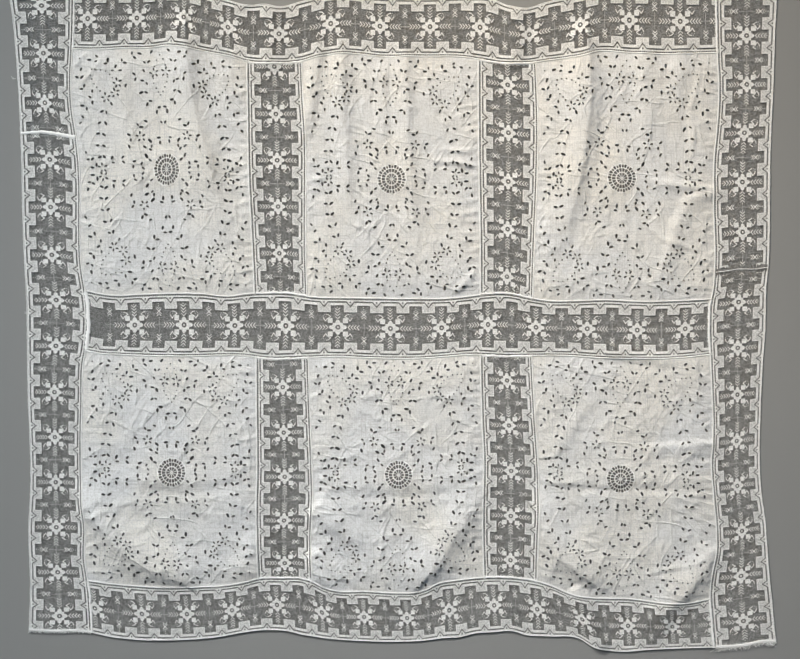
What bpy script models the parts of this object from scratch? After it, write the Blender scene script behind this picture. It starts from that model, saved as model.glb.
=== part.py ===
"""A lace tablecloth: six embroidered linen panels joined by bands of net lace, laid out flat.

The cloth is drawn as a plan in millimetres, across from the left and down from the top. Seams are
lines across and down that plan, as uneven as in the real cloth. Each piece is a thin sheet between
four seam lines. It lies on the ground, and only the folds lift it. The finished model is in metres,
with +X across, +Y up the plan and +Z off the ground.
"""
import bpy
import bmesh
import numpy as np
from mathutils import Vector
from mathutils.geometry import delaunay_2d_cdt

MM = 0.001
SHEET = 1.5            # thickness of the cloth, mm
SEAM_GAP = 0.3         # between two pieces sewn edge to edge, mm
CROSSING_ROUNDS = 12   # steps that home in on where two seam lines meet
SAME_POINT = 0.0001    # points nearer than this are one, mm
FACES_IN_LOOPS = 1     # the triangulation's own number for keeping only the faces inside a loop

# Lines across the cloth, from the top down: points (across, down) in mm
ROW_LINES = {
    "top_edge": [
        (19, -26), (173, -26), (329, -25), (442, -28), (494, -14), (547, 0), (600, 12), (629, 10),
        (670, 16), (720, 4), (794, -14), (912, -6), (1032, -4), (1116, -7), (1176, -5), (1219, 13),
        (1260, 20), (1308, 6), (1392, -12), (1452, -24), (1510, -26), (1632, -23), (1865, -22)],
    "top_seam": [
        (173, 115), (240, 116), (288, 113), (360, 112), (408, 108), (444, 113), (480, 119),
        (547, 132), (595, 145), (670, 149), (720, 145), (754, 136), (794, 128), (840, 126),
        (912, 133), (1032, 133), (1109, 134), (1152, 140), (1200, 148), (1260, 150), (1308, 143),
        (1356, 137), (1397, 132), (1435, 121), (1510, 124), (1584, 127), (1721, 124)],
    "left_join": [(48, 320), (77, 319), (110, 318), (139, 322), (168, 328), (180, 330)],
    "right_join": [(1716, 654), (1745, 650), (1769, 646), (1805, 646), (1846, 641)],
    "middle_upper": [
        (211, 702), (240, 708), (269, 712), (336, 710), (432, 707), (480, 708), (547, 714),
        (600, 708), (648, 706), (696, 707), (744, 715), (840, 718), (984, 720), (1080, 719),
        (1128, 714), (1162, 709), (1224, 708), (1272, 718), (1308, 724), (1392, 725),
        (1440, 723), (1560, 727), (1644, 724), (1709, 721)],
    "middle_lower": [
        (206, 838), (240, 845), (288, 848), (432, 852), (600, 852), (636, 857), (720, 856),
        (792, 853), (912, 857), (1008, 857), (1080, 852), (1128, 848), (1200, 851), (1368, 851),
        (1440, 856), (1524, 858), (1608, 857), (1680, 851), (1709, 847)],
    "bottom_seam": [
        (211, 1396), (252, 1402), (312, 1408), (384, 1412), (480, 1411), (540, 1408), (588, 1400),
        (622, 1391), (672, 1390), (725, 1391), (749, 1398), (773, 1411), (804, 1420), (876, 1422),
        (960, 1426), (996, 1425), (1025, 1417), (1051, 1403), (1092, 1396), (1188, 1388),
        (1248, 1391), (1289, 1398), (1327, 1410), (1363, 1426), (1404, 1435), (1512, 1440),
        (1603, 1450), (1651, 1450), (1709, 1439)],
    "bottom_edge": [
        (67, 1513), (120, 1516), (218, 1518), (240, 1523), (276, 1530), (324, 1535), (384, 1537),
        (468, 1534), (528, 1528), (588, 1517), (643, 1512), (684, 1514), (732, 1524), (792, 1533),
        (864, 1538), (960, 1540), (1013, 1538), (1068, 1531), (1104, 1529), (1140, 1520),
        (1181, 1517), (1236, 1516), (1258, 1523), (1315, 1527), (1397, 1536), (1421, 1552),
        (1452, 1560), (1490, 1564), (1548, 1560), (1632, 1556), (1718, 1554), (1757, 1553),
        (1793, 1549), (1814, 1544), (1865, 1540)],
}

# Lines down the cloth, from the left: points (down, across) in mm
COLUMN_LINES = {
    "left_edge": [
        (-26, 20), (48, 31), (120, 38), (240, 46), (384, 52), (528, 55), (624, 59), (720, 64),
        (840, 66), (960, 68), (1080, 73), (1164, 74), (1272, 69), (1392, 73), (1517, 70)],
    "left_seam": [
        (-26, 175), (108, 172), (192, 168), (252, 170), (324, 180), (384, 187), (444, 190),
        (540, 190), (648, 194), (696, 202), (732, 207), (780, 209), (828, 205), (876, 197),
        (960, 195), (1056, 193), (1152, 194), (1212, 197), (1260, 202), (1344, 201), (1392, 208),
        (1428, 212), (1517, 218)],
    "upright_1": [
        (144, 596), (312, 598), (408, 600), (552, 607), (706, 614), (857, 618), (1008, 619),
        (1128, 620), (1212, 618), (1390, 623)],
    "upright_2": [
        (144, 721), (240, 725), (312, 730), (480, 731), (600, 731), (706, 734), (857, 737),
        (1008, 742), (1116, 746), (1188, 748), (1296, 744), (1390, 746)],
    "upright_3": [
        (144, 1151), (360, 1152), (600, 1156), (857, 1156), (1008, 1160), (1116, 1164),
        (1200, 1162), (1296, 1162), (1390, 1165)],
    "upright_4": [
        (144, 1283), (288, 1288), (432, 1286), (576, 1280), (706, 1276), (857, 1274), (984, 1280),
        (1152, 1290), (1236, 1290), (1296, 1288), (1390, 1286)],
    "right_seam": [
        (-22, 1721), (120, 1724), (228, 1728), (312, 1723), (372, 1717), (480, 1715), (636, 1718),
        (696, 1714), (725, 1708), (792, 1705), (864, 1708), (960, 1712), (1020, 1714),
        (1128, 1710), (1200, 1716), (1272, 1722), (1320, 1722), (1373, 1712), (1416, 1707),
        (1488, 1711), (1560, 1717)],
    "right_edge": [
        (-22, 1865), (72, 1860), (192, 1856), (384, 1848), (576, 1846), (636, 1844), (684, 1839),
        (792, 1836), (888, 1829), (984, 1825), (1116, 1823), (1176, 1826), (1248, 1836),
        (1344, 1843), (1440, 1852), (1541, 1862)],
}

ROWS = list(ROW_LINES)
COLUMNS = list(COLUMN_LINES)
ROW_STEPS = [5, 8, 13, 3, 5, 21, 5]              # outline steps between one row line and the next
COLUMN_STEPS = [5, 17, 5, 17, 5, 17, 5]          # and between one column line and the next

# Pieces: left line, right line, upper line, lower line, cloth
PIECES = {
    "lace_left_upper": ("left_edge", "left_seam", "top_edge", "left_join", "lace"),
    "lace_left_lower": ("left_edge", "left_seam", "left_join", "bottom_edge", "lace"),
    "lace_right_upper": ("right_seam", "right_edge", "top_edge", "right_join", "lace"),
    "lace_right_lower": ("right_seam", "right_edge", "right_join", "bottom_edge", "lace"),
    "lace_top": ("left_seam", "right_seam", "top_edge", "top_seam", "lace"),
    "lace_middle": ("left_seam", "right_seam", "middle_upper", "middle_lower", "lace"),
    "lace_bottom": ("left_seam", "right_seam", "bottom_seam", "bottom_edge", "lace"),
    "lace_upright_1": ("upright_1", "upright_2", "top_seam", "middle_upper", "lace"),
    "lace_upright_2": ("upright_3", "upright_4", "top_seam", "middle_upper", "lace"),
    "lace_upright_3": ("upright_1", "upright_2", "middle_lower", "bottom_seam", "lace"),
    "lace_upright_4": ("upright_3", "upright_4", "middle_lower", "bottom_seam", "lace"),
    "panel_upper_left": ("left_seam", "upright_1", "top_seam", "middle_upper", "linen"),
    "panel_upper_middle": ("upright_2", "upright_3", "top_seam", "middle_upper", "linen"),
    "panel_upper_right": ("upright_4", "right_seam", "top_seam", "middle_upper", "linen"),
    "panel_lower_left": ("left_seam", "upright_1", "middle_lower", "bottom_seam", "linen"),
    "panel_lower_middle": ("upright_2", "upright_3", "middle_lower", "bottom_seam", "linen"),
    "panel_lower_right": ("upright_4", "right_seam", "middle_lower", "bottom_seam", "linen"),
}

# Folds: height, half width, then the points (across, down) along the crest, all in mm
FOLDS = [
    (10, 40, [(451, 96), (473, 240), (511, 360), (557, 516), (588, 629)]),
    (7, 34, [(845, 115), (840, 288), (845, 480), (854, 612)]),
    (6, 34, [(989, 120), (984, 336), (1003, 528), (1018, 660)]),
    (13, 42, [(1450, 110), (1447, 288), (1423, 444), (1385, 588), (1334, 710)]),
    (8, 40, [(1711, 456), (1656, 509), (1603, 600), (1572, 713)]),
    (14, 42, [(192, 1200), (240, 1296), (298, 1358), (365, 1387), (461, 1404)]),
    (8, 34, [(614, 1284), (593, 1349), (547, 1394)]),
    (11, 36, [(730, 1308), (773, 1382), (828, 1426)]),
    (16, 42, [(1166, 1200), (1123, 1296), (1070, 1358), (998, 1416)]),
    (13, 38, [(1291, 1308), (1339, 1387), (1402, 1440)]),
    (13, 36, [(1718, 1334), (1699, 1404), (1646, 1454), (1572, 1507)]),
    (5, 26, [(744, 1178), (840, 1190), (948, 1193)]),
    (5, 30, [(202, 1109), (408, 1111), (605, 1123)]),
    (5, 28, [(1344, 1078), (1512, 1061), (1699, 1056)]),
    (6, 28, [(1404, 854), (1536, 864), (1680, 881)]),
    (8, 26, [(1387, 1421), (1421, 1488), (1440, 1548)]),
    (6, 40, [(653, 10), (648, 144)]),
    (6, 40, [(1246, 19), (1234, 144)]),
]
FOLD_STEP = 32         # between the points that shape a fold, mm
CLEAR = 9              # between such a point and the piece's rim or an eyelet, mm

# Eyelets cut through one quarter of a panel: across and down from its middle in mm, and the turn of
# the leaf in degrees. The other three quarters mirror them.
CHART_HALF_WIDTH = 215
CHART_HALF_HEIGHT = 284
LEAVES = [
    (49, 34, 60), (36, 67, 50), (89, 55, 65), (54, 101, -10), (148, 60, 35), (138, 110, 60),
    (161, 35, -25), (170, 16, 90), (34, 151, 100), (95, 229, 0)]
LEAF = [(-6, 0), (-2.2, -2.4), (2.2, -2.4), (6, 0), (2.2, 2.4), (-2.2, 2.4)]
WHEEL_OPENINGS = 8
WHEEL_OPENING = [(16.5, -1.7), (24.5, -2.6), (24.5, 2.6), (16.5, 1.7)]

CLOTHS = {"linen": ((0.80, 0.79, 0.75, 1), 0.85), "lace": ((0.74, 0.73, 0.70, 1), 0.9)}


def smooth_line(points, at):
    """A cubic through the points, with each slope taken from the neighbours; flat past the ends."""
    x, y = np.array(points, float).T
    slope = np.gradient(y, x)
    at = np.clip(at, x[0], x[-1])
    k = np.clip(np.searchsorted(x, at, side="right") - 1, 0, len(x) - 2)
    step = x[k + 1] - x[k]
    u = (at - x[k]) / step
    start = (1 + 2 * u) * (1 - u) ** 2 * y[k] + u * (1 - u) ** 2 * step * slope[k]
    end = u ** 2 * (3 - 2 * u) * y[k + 1] + u ** 2 * (u - 1) * step * slope[k + 1]
    return start + end


def crossing(row, column):
    """The point where a row line meets a column line, found by going from one to the other."""
    down = smooth_line(ROW_LINES[row], ROW_LINES[row][0][0])
    for _ in range(CROSSING_ROUNDS):
        across = smooth_line(COLUMN_LINES[column], down)
        down = smooth_line(ROW_LINES[row], across)
    return np.array([across, down])


CROSSINGS = {(row, column): crossing(row, column) for row in ROWS for column in COLUMNS}


def row_points(row):
    """Points along a row line, evenly spaced across between its crossings."""
    stops = [CROSSINGS[row, column][0] for column in COLUMNS]
    runs = [np.linspace(a, b, n, endpoint=False) for a, b, n in zip(stops, stops[1:], COLUMN_STEPS)]
    across = np.concatenate(runs + [stops[-1:]])
    return np.stack([across, smooth_line(ROW_LINES[row], across)], axis=1)


def column_points(column):
    """Points along a column line, evenly spaced down between its crossings."""
    stops = [CROSSINGS[row, column][1] for row in ROWS]
    runs = [np.linspace(a, b, n, endpoint=False) for a, b, n in zip(stops, stops[1:], ROW_STEPS)]
    down = np.concatenate(runs + [stops[-1:]])
    return np.stack([smooth_line(COLUMN_LINES[column], down), down], axis=1)


def side_normals(points):
    """Unit vectors square to a line of points, towards the right or the bottom of the plan."""
    along = np.gradient(points, axis=0)
    along /= np.linalg.norm(along, axis=1, keepdims=True)
    square = np.stack([-along[:, 1], along[:, 0]], axis=1)
    towards = np.sign(square.sum(axis=1, keepdims=True))
    return square * towards


def outline(left, right, upper, lower):
    """The rim of a piece between four lines, drawn in by half the seam gap."""
    inset = SEAM_GAP / 2
    first_column, last_column = (sum(COLUMN_STEPS[:COLUMNS.index(c)]) for c in (left, right))
    first_row, last_row = (sum(ROW_STEPS[:ROWS.index(r)]) for r in (upper, lower))
    sides = {}
    for name, points, first, last, inward in (
            ("upper", row_points(upper), first_column, last_column, 1),
            ("lower", row_points(lower), first_column, last_column, -1),
            ("left", column_points(left), first_row, last_row, 1),
            ("right", column_points(right), first_row, last_row, -1)):
        moves = inward * inset * side_normals(points)
        sides[name] = points[first:last + 1], moves[first:last + 1]

    def run(name):
        points, moves = sides[name]
        return points[1:-1] + moves[1:-1]

    def corner(row_side, column_side, row_end, column_end):
        points, moves = sides[row_side]
        return [points[row_end] + moves[row_end] + sides[column_side][1][column_end]]

    return np.concatenate([
        corner("upper", "left", 0, 0), run("upper"),
        corner("upper", "right", -1, 0), run("right"),
        corner("lower", "right", -1, -1), run("lower")[::-1],
        corner("lower", "left", 0, -1), run("left")[::-1]])


def patch_point(left, right, upper, lower, s, t):
    """The point at shares s across and t down a piece: its sides blended, less its corners."""
    corners = {(i, j): CROSSINGS[row, column]
               for i, column in enumerate((left, right)) for j, row in enumerate((upper, lower))}
    across_up = (1 - s) * corners[0, 0][0] + s * corners[1, 0][0]
    across_low = (1 - s) * corners[0, 1][0] + s * corners[1, 1][0]
    down_left = (1 - t) * corners[0, 0][1] + t * corners[0, 1][1]
    down_right = (1 - t) * corners[1, 0][1] + t * corners[1, 1][1]
    on_upper = np.array([across_up, smooth_line(ROW_LINES[upper], across_up)])
    on_lower = np.array([across_low, smooth_line(ROW_LINES[lower], across_low)])
    on_left = np.array([smooth_line(COLUMN_LINES[left], down_left), down_left])
    on_right = np.array([smooth_line(COLUMN_LINES[right], down_right), down_right])
    flat = sum((s if i else 1 - s) * (t if j else 1 - t) * p for (i, j), p in corners.items())
    return (1 - t) * on_upper + t * on_lower + (1 - s) * on_left + s * on_right - flat


def fold_height(points):
    """How far the folds lift the cloth: each is a soft ridge, a half cosine either side of its
    crest, that dies away within its half width past each end."""
    height = np.zeros(len(points))
    for rise, half_width, crest in FOLDS:
        distance = np.full(len(points), np.inf)
        crest = np.array(crest, float)
        for start, end in zip(crest, crest[1:]):
            along = end - start
            share = np.clip((points - start) @ along / (along @ along), 0, 1)
            gap = np.linalg.norm(points - start - share[:, None] * along, axis=1)
            distance = np.minimum(distance, gap)
        near = np.clip(distance / half_width, 0, 1)
        height = np.maximum(height, rise * (1 + np.cos(np.pi * near)) / 2)
    return height


def fold_points():
    """Points along each fold's crest and along both of its feet."""
    found = []
    for _, half_width, crest in FOLDS:
        crest = np.array(crest, float)
        lengths = np.linalg.norm(np.diff(crest, axis=0), axis=1)
        walked = np.concatenate([[0], np.cumsum(lengths)])
        stops = np.linspace(0, walked[-1], max(2, round(walked[-1] / FOLD_STEP)) + 1)
        line = np.stack([np.interp(stops, walked, crest[:, k]) for k in (0, 1)], axis=1)
        square = side_normals(line)
        found += [line, line + half_width * square, line - half_width * square]
        ends = np.array([line[0] - line[1], line[-1] - line[-2]])
        ends *= half_width / np.linalg.norm(ends, axis=1, keepdims=True)
        found.append(line[[0, -1]] + ends)
    return np.concatenate(found)


def placed(shape, centre, turn, mirror=(1, 1)):
    """A small outline turned by an angle in degrees, mirrored, and moved to its centre. A single
    mirror turns the order of its points round, so they are put back in their first order."""
    angle = np.radians(turn)
    rotation = np.array([[np.cos(angle), np.sin(angle)], [-np.sin(angle), np.cos(angle)]])
    turned = (np.array(shape, float) @ rotation) * mirror
    return centre + turned[::mirror[0] * mirror[1]]


def eyelets(left, right, upper, lower):
    """Outlines of the openings in a panel: its wheel's and the largest leaves of each quarter."""
    sides = (left, right, upper, lower)
    middle = patch_point(*sides, 0.5, 0.5)
    holes = [placed(WHEEL_OPENING, middle, 360 * k / WHEEL_OPENINGS) for k in range(WHEEL_OPENINGS)]
    for mirror in ((1, 1), (-1, 1), (1, -1), (-1, -1)):
        for across, down, turn in LEAVES:
            s = 0.5 + 0.5 * mirror[0] * across / CHART_HALF_WIDTH
            t = 0.5 + 0.5 * mirror[1] * down / CHART_HALF_HEIGHT
            holes.append(placed(LEAF, patch_point(*sides, s, t), turn, mirror))
    return holes


def inside(points, rim):
    """Which points lie inside a closed rim, by counting the edges to their right."""
    x, y = points[:, :1], points[:, 1:]
    x0, y0 = rim.T
    x1, y1 = np.roll(rim, -1, axis=0).T
    spans = (y0 > y) != (y1 > y)
    level = np.where(y1 == y0, 1, y1 - y0)
    return (spans & (x < x0 + (y - y0) * (x1 - x0) / level)).sum(axis=1) % 2 == 1


def add_material(name, colour, roughness):
    """A plain cloth finish."""
    material = bpy.data.materials.new(name)
    material.use_nodes = True
    shader = material.node_tree.nodes["Principled BSDF"]
    shader.inputs["Base Color"].default_value = colour
    shader.inputs["Roughness"].default_value = roughness
    shader.inputs["Metallic"].default_value = 0
    return material


def add_piece(name, sides, material, middle, collection):
    """One sheet: its rim and eyelets are triangulated, laid on the folds and thickened upwards."""
    rim = outline(*sides)
    holes = eyelets(*sides) if name.startswith("panel") else []
    rims = np.concatenate([rim] + holes)
    shaping = fold_points()
    shaping = shaping[inside(shaping, rim)]
    to_rims = np.linalg.norm(shaping[:, None] - rims, axis=2).min(axis=1)
    shaping = shaping[to_rims > CLEAR]
    points = np.concatenate([rims, shaping])
    loops = []
    for loop in [rim] + holes:
        first = sum(len(done) for done in loops)
        loops.append(list(range(first, first + len(loop))))
    corners_in = [Vector(point) for point in points]
    flat, _, faces, _, _, owners = delaunay_2d_cdt(
        corners_in, [], loops, FACES_IN_LOOPS, SAME_POINT)
    flat = np.array([tuple(p) for p in flat])
    height = fold_height(flat)
    bm = bmesh.new()
    corners = [bm.verts.new(((x - middle[0]) * MM, (middle[1] - y) * MM, z * MM))
               for (x, y), z in zip(flat, height)]
    for face, owner in zip(faces, owners):
        if owner == [0]:
            bm.faces.new([corners[k] for k in face])
    raised = bmesh.ops.extrude_face_region(bm, geom=bm.faces[:], use_keep_orig=True)["geom"]
    lifted = [item for item in raised if isinstance(item, bmesh.types.BMVert)]
    bmesh.ops.translate(bm, verts=lifted, vec=(0, 0, SHEET * MM))
    bmesh.ops.delete(bm, geom=[v for v in bm.verts if not v.link_faces], context="VERTS")
    bmesh.ops.recalc_face_normals(bm, faces=bm.faces[:])
    mesh = bpy.data.meshes.new(name)
    bm.to_mesh(mesh)
    bm.free()
    mesh.materials.append(material)
    collection.objects.link(bpy.data.objects.new(name, mesh))


def main():
    """Clears the scene and lays out the cloth, centred on its own box."""
    for thing in list(bpy.data.objects):
        bpy.data.objects.remove(thing)
    collection = bpy.data.collections.new("lace_tablecloth")
    bpy.context.scene.collection.children.link(collection)
    materials = {name: add_material(name, *finish) for name, finish in CLOTHS.items()}
    rims = np.concatenate([outline(*sides) for *sides, _ in PIECES.values()])
    middle = (rims.min(axis=0) + rims.max(axis=0)) / 2
    for name, (*sides, cloth) in PIECES.items():
        add_piece(name, sides, materials[cloth], middle, collection)


main()
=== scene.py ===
"""A lace tablecloth laid out flat: six embroidered linen panels between eleven lengths of net lace.

Every piece is drawn on the cloth's plan, in millimetres across from the left and down from the top,
and then laid on the cloth's folds. The lace and the embroidery are charted in squares of 2.4 mm,
which is one mesh of the net. Meshes are in metres, in the frame's own axes.
"""

import bpy
import numpy as np
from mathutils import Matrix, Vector
from mathutils.geometry import delaunay_2d_cdt


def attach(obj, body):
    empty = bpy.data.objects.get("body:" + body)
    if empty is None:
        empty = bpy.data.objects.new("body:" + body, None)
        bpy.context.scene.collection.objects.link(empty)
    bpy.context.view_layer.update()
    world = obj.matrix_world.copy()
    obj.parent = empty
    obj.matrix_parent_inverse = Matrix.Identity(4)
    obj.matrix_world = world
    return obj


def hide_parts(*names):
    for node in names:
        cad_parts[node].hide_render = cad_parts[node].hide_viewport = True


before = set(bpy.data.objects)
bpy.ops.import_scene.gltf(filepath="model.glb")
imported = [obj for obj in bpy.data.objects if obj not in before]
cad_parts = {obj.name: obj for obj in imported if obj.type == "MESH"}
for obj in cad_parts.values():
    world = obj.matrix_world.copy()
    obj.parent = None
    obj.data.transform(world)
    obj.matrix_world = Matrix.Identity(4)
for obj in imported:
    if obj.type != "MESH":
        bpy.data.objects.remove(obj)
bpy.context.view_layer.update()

MM = 0.001
SQUARE = 2.4                    # side of a chart square and of a mesh of the net, mm
PLAN_MIDDLE = (942.5, 766.9)    # the point of the plan over the model's origin, mm
FLIP_ALONG = (-1, 1)
FLIP_ACROSS = (1, -1)
FOUR_WAYS = ((1, 1), FLIP_ALONG, FLIP_ACROSS, (-1, -1))

# Lines across the cloth, from the top down: points (across, down) in mm
ROW_LINES = {
    "top_edge": [
        (19, -26), (173, -26), (329, -25), (442, -28), (494, -14), (547, 0), (600, 12), (629, 10),
        (670, 16), (720, 4), (794, -14), (912, -6), (1032, -4), (1116, -7), (1176, -5), (1219, 13),
        (1260, 20), (1308, 6), (1392, -12), (1452, -24), (1510, -26), (1632, -23), (1865, -22)],
    "top_seam": [
        (173, 115), (240, 116), (288, 113), (360, 112), (408, 108), (444, 113), (480, 119),
        (547, 132), (595, 145), (670, 149), (720, 145), (754, 136), (794, 128), (840, 126),
        (912, 133), (1032, 133), (1109, 134), (1152, 140), (1200, 148), (1260, 150), (1308, 143),
        (1356, 137), (1397, 132), (1435, 121), (1510, 124), (1584, 127), (1721, 124)],
    "left_join": [(48, 320), (77, 319), (110, 318), (139, 322), (168, 328), (180, 330)],
    "right_join": [(1716, 654), (1745, 650), (1769, 646), (1805, 646), (1846, 641)],
    "middle_upper": [
        (211, 702), (240, 708), (269, 712), (336, 710), (432, 707), (480, 708), (547, 714),
        (600, 708), (648, 706), (696, 707), (744, 715), (840, 718), (984, 720), (1080, 719),
        (1128, 714), (1162, 709), (1224, 708), (1272, 718), (1308, 724), (1392, 725),
        (1440, 723), (1560, 727), (1644, 724), (1709, 721)],
    "middle_lower": [
        (206, 838), (240, 845), (288, 848), (432, 852), (600, 852), (636, 857), (720, 856),
        (792, 853), (912, 857), (1008, 857), (1080, 852), (1128, 848), (1200, 851), (1368, 851),
        (1440, 856), (1524, 858), (1608, 857), (1680, 851), (1709, 847)],
    "bottom_seam": [
        (211, 1396), (252, 1402), (312, 1408), (384, 1412), (480, 1411), (540, 1408), (588, 1400),
        (622, 1391), (672, 1390), (725, 1391), (749, 1398), (773, 1411), (804, 1420), (876, 1422),
        (960, 1426), (996, 1425), (1025, 1417), (1051, 1403), (1092, 1396), (1188, 1388),
        (1248, 1391), (1289, 1398), (1327, 1410), (1363, 1426), (1404, 1435), (1512, 1440),
        (1603, 1450), (1651, 1450), (1709, 1439)],
    "bottom_edge": [
        (67, 1513), (120, 1516), (218, 1518), (240, 1523), (276, 1530), (324, 1535), (384, 1537),
        (468, 1534), (528, 1528), (588, 1517), (643, 1512), (684, 1514), (732, 1524), (792, 1533),
        (864, 1538), (960, 1540), (1013, 1538), (1068, 1531), (1104, 1529), (1140, 1520),
        (1181, 1517), (1236, 1516), (1258, 1523), (1315, 1527), (1397, 1536), (1421, 1552),
        (1452, 1560), (1490, 1564), (1548, 1560), (1632, 1556), (1718, 1554), (1757, 1553),
        (1793, 1549), (1814, 1544), (1865, 1540)],
}

# Lines down the cloth, from the left: points (down, across) in mm
COLUMN_LINES = {
    "left_edge": [
        (-26, 20), (48, 31), (120, 38), (240, 46), (384, 52), (528, 55), (624, 59), (720, 64),
        (840, 66), (960, 68), (1080, 73), (1164, 74), (1272, 69), (1392, 73), (1517, 70)],
    "left_seam": [
        (-26, 175), (108, 172), (192, 168), (252, 170), (324, 180), (384, 187), (444, 190),
        (540, 190), (648, 194), (696, 202), (732, 207), (780, 209), (828, 205), (876, 197),
        (960, 195), (1056, 193), (1152, 194), (1212, 197), (1260, 202), (1344, 201), (1392, 208),
        (1428, 212), (1517, 218)],
    "upright_1": [
        (144, 596), (312, 598), (408, 600), (552, 607), (706, 614), (857, 618), (1008, 619),
        (1128, 620), (1212, 618), (1390, 623)],
    "upright_2": [
        (144, 721), (240, 725), (312, 730), (480, 731), (600, 731), (706, 734), (857, 737),
        (1008, 742), (1116, 746), (1188, 748), (1296, 744), (1390, 746)],
    "upright_3": [
        (144, 1151), (360, 1152), (600, 1156), (857, 1156), (1008, 1160), (1116, 1164),
        (1200, 1162), (1296, 1162), (1390, 1165)],
    "upright_4": [
        (144, 1283), (288, 1288), (432, 1286), (576, 1280), (706, 1276), (857, 1274), (984, 1280),
        (1152, 1290), (1236, 1290), (1296, 1288), (1390, 1286)],
    "right_seam": [
        (-22, 1721), (120, 1724), (228, 1728), (312, 1723), (372, 1717), (480, 1715), (636, 1718),
        (696, 1714), (725, 1708), (792, 1705), (864, 1708), (960, 1712), (1020, 1714),
        (1128, 1710), (1200, 1716), (1272, 1722), (1320, 1722), (1373, 1712), (1416, 1707),
        (1488, 1711), (1560, 1717)],
    "right_edge": [
        (-22, 1865), (72, 1860), (192, 1856), (384, 1848), (576, 1846), (636, 1844), (684, 1839),
        (792, 1836), (888, 1829), (984, 1825), (1116, 1823), (1176, 1826), (1248, 1836),
        (1344, 1843), (1440, 1852), (1541, 1862)],
}

# Each piece lies between a left, a right, an upper and a lower line. The panels come first.
PANEL_ROWS = {"upper": ("top_seam", "middle_upper"), "lower": ("middle_lower", "bottom_seam")}
PANEL_COLUMNS = {
    "left": ("left_seam", "upright_1"),
    "middle": ("upright_2", "upright_3"),
    "right": ("upright_4", "right_seam"),
}
PANELS = {
    f"panel_{row}_{column}": (*beside, *above_below)
    for row, above_below in PANEL_ROWS.items() for column, beside in PANEL_COLUMNS.items()}

# The lengths of lace: lines, whether it runs across or down, the places of its stars along that way
# in mm, and how many squares its right half lies further on than its left half, where it is skewed
LACES = {
    "lace_left_upper": (
        ("left_edge", "left_seam", "top_edge", "left_join"), "down", [14, 128, 247], 0),
    "lace_left_lower": (
        ("left_edge", "left_seam", "left_join", "bottom_edge"), "down",
        [383, 497, 612, 720, 830, 941, 1049, 1157, 1265, 1373, 1478], 0),
    "lace_right_upper": (
        ("right_seam", "right_edge", "top_edge", "right_join"), "down",
        [86, 203, 319, 437, 557], 0),
    "lace_right_lower": (
        ("right_seam", "right_edge", "right_join", "bottom_edge"), "down",
        [725, 835, 947, 1058, 1166, 1274, 1382, 1490], 0),
    "lace_top": (
        ("left_seam", "right_seam", "top_edge", "top_seam"), "across",
        [211, 329, 442, 547, 670, 794, 912, 1032, 1152, 1270, 1392, 1510, 1632], 0),
    "lace_middle": (
        ("left_seam", "right_seam", "middle_upper", "middle_lower"), "across",
        [324, 442, 564, 686, 811, 937, 1060, 1171, 1286, 1409, 1529, 1644], 0),
    "lace_bottom": (
        ("left_seam", "right_seam", "bottom_seam", "bottom_edge"), "across",
        [228, 341, 449, 557, 665, 773, 874, 977, 1078, 1186, 1289, 1397, 1507, 1613], 0),
    "lace_upright_1": (
        ("upright_1", "upright_2", "top_seam", "middle_upper"), "down",
        [161, 274, 385, 496, 608], 0),
    "lace_upright_2": (
        ("upright_3", "upright_4", "top_seam", "middle_upper"), "down",
        [204, 319, 436, 550, 664], 3),
    "lace_upright_3": (
        ("upright_1", "upright_2", "middle_lower", "bottom_seam"), "down",
        [929, 1038, 1144, 1249, 1351], 0),
    "lace_upright_4": (
        ("upright_3", "upright_4", "middle_lower", "bottom_seam"), "down",
        [913, 1021, 1130, 1238, 1344], 1.5),
}

# Folds: height, width of the first and of the second flank, and how far the crest rises and falls at
# its two ends, all in mm, then the crest's points (across, down) in squares. The first flank is on the
# left of a crest that is drawn downwards, and below one that is drawn from left to right.
FOLDS = [
    (5, 26, 20, (0, 60), [(222, 42), (235, 58), (249, 80)]),
    (4, 36, 30, (60, 80), [(240, 150), (250, 175), (252, 205), (248, 235)]),
    (3, 40, 34, (40, 100), [(120, 60), (124, 105), (132, 150), (140, 205)]),
    (5.5, 34, 24, (0, 80), [(318, 52), (314, 90), (308, 125), (303, 150)]),
    (4, 36, 50, (0, 120), [(645, 50), (645, 90), (648, 130), (650, 165)]),
    (3.5, 36, 30, (0, 120), [(682, 48), (679, 90), (674, 130)]),
    (4, 24, 40, (0, 120), [(714, 190), (690, 199), (677, 225), (667, 260), (655, 290)]),
    (5, 40, 60, (20, 60), [(258, 535), (248, 562), (230, 582)]),
    (2.0, 26, 44, (60, 60), [(312, 484), (360, 486), (400, 488), (440, 485), (484, 474)]),
    (1.7, 50, 20, (60, 60), [(312, 503), (400, 505), (482, 498)]),
    (1.8, 26, 44, (60, 60), [(84, 484), (130, 481), (180, 483), (222, 478), (256, 470)]),
    (1.7, 60, 22, (60, 60), [(110, 507), (160, 503), (205, 500), (254, 493)]),
    (1.8, 24, 40, (60, 60), [(536, 478), (600, 481), (650, 480), (710, 484)]),
    (1.7, 46, 20, (60, 60), [(560, 496), (640, 497), (706, 497)]),
    (2, 26, 26, (50, 60), [(598, 392), (580, 412), (562, 440), (552, 456)]),
    (3, 36, 14, (80, 0), [(628, 450), (670, 446), (712, 444)]),
    (4, 24, 34, (60, 80), [(590, 352), (640, 356), (700, 367)]),
    (7, 26, 30, (0, 0), [(577, 592), (590, 617), (600, 644)]),
    (5, 22, 30, (0, 0), [(676, 604), (664, 622), (650, 636)]),
    (6, 40, 40, (0, 0), [(272, 4), (270, 60)]),
    (6, 40, 40, (0, 0), [(519, 8), (514, 60)]),
]

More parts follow.
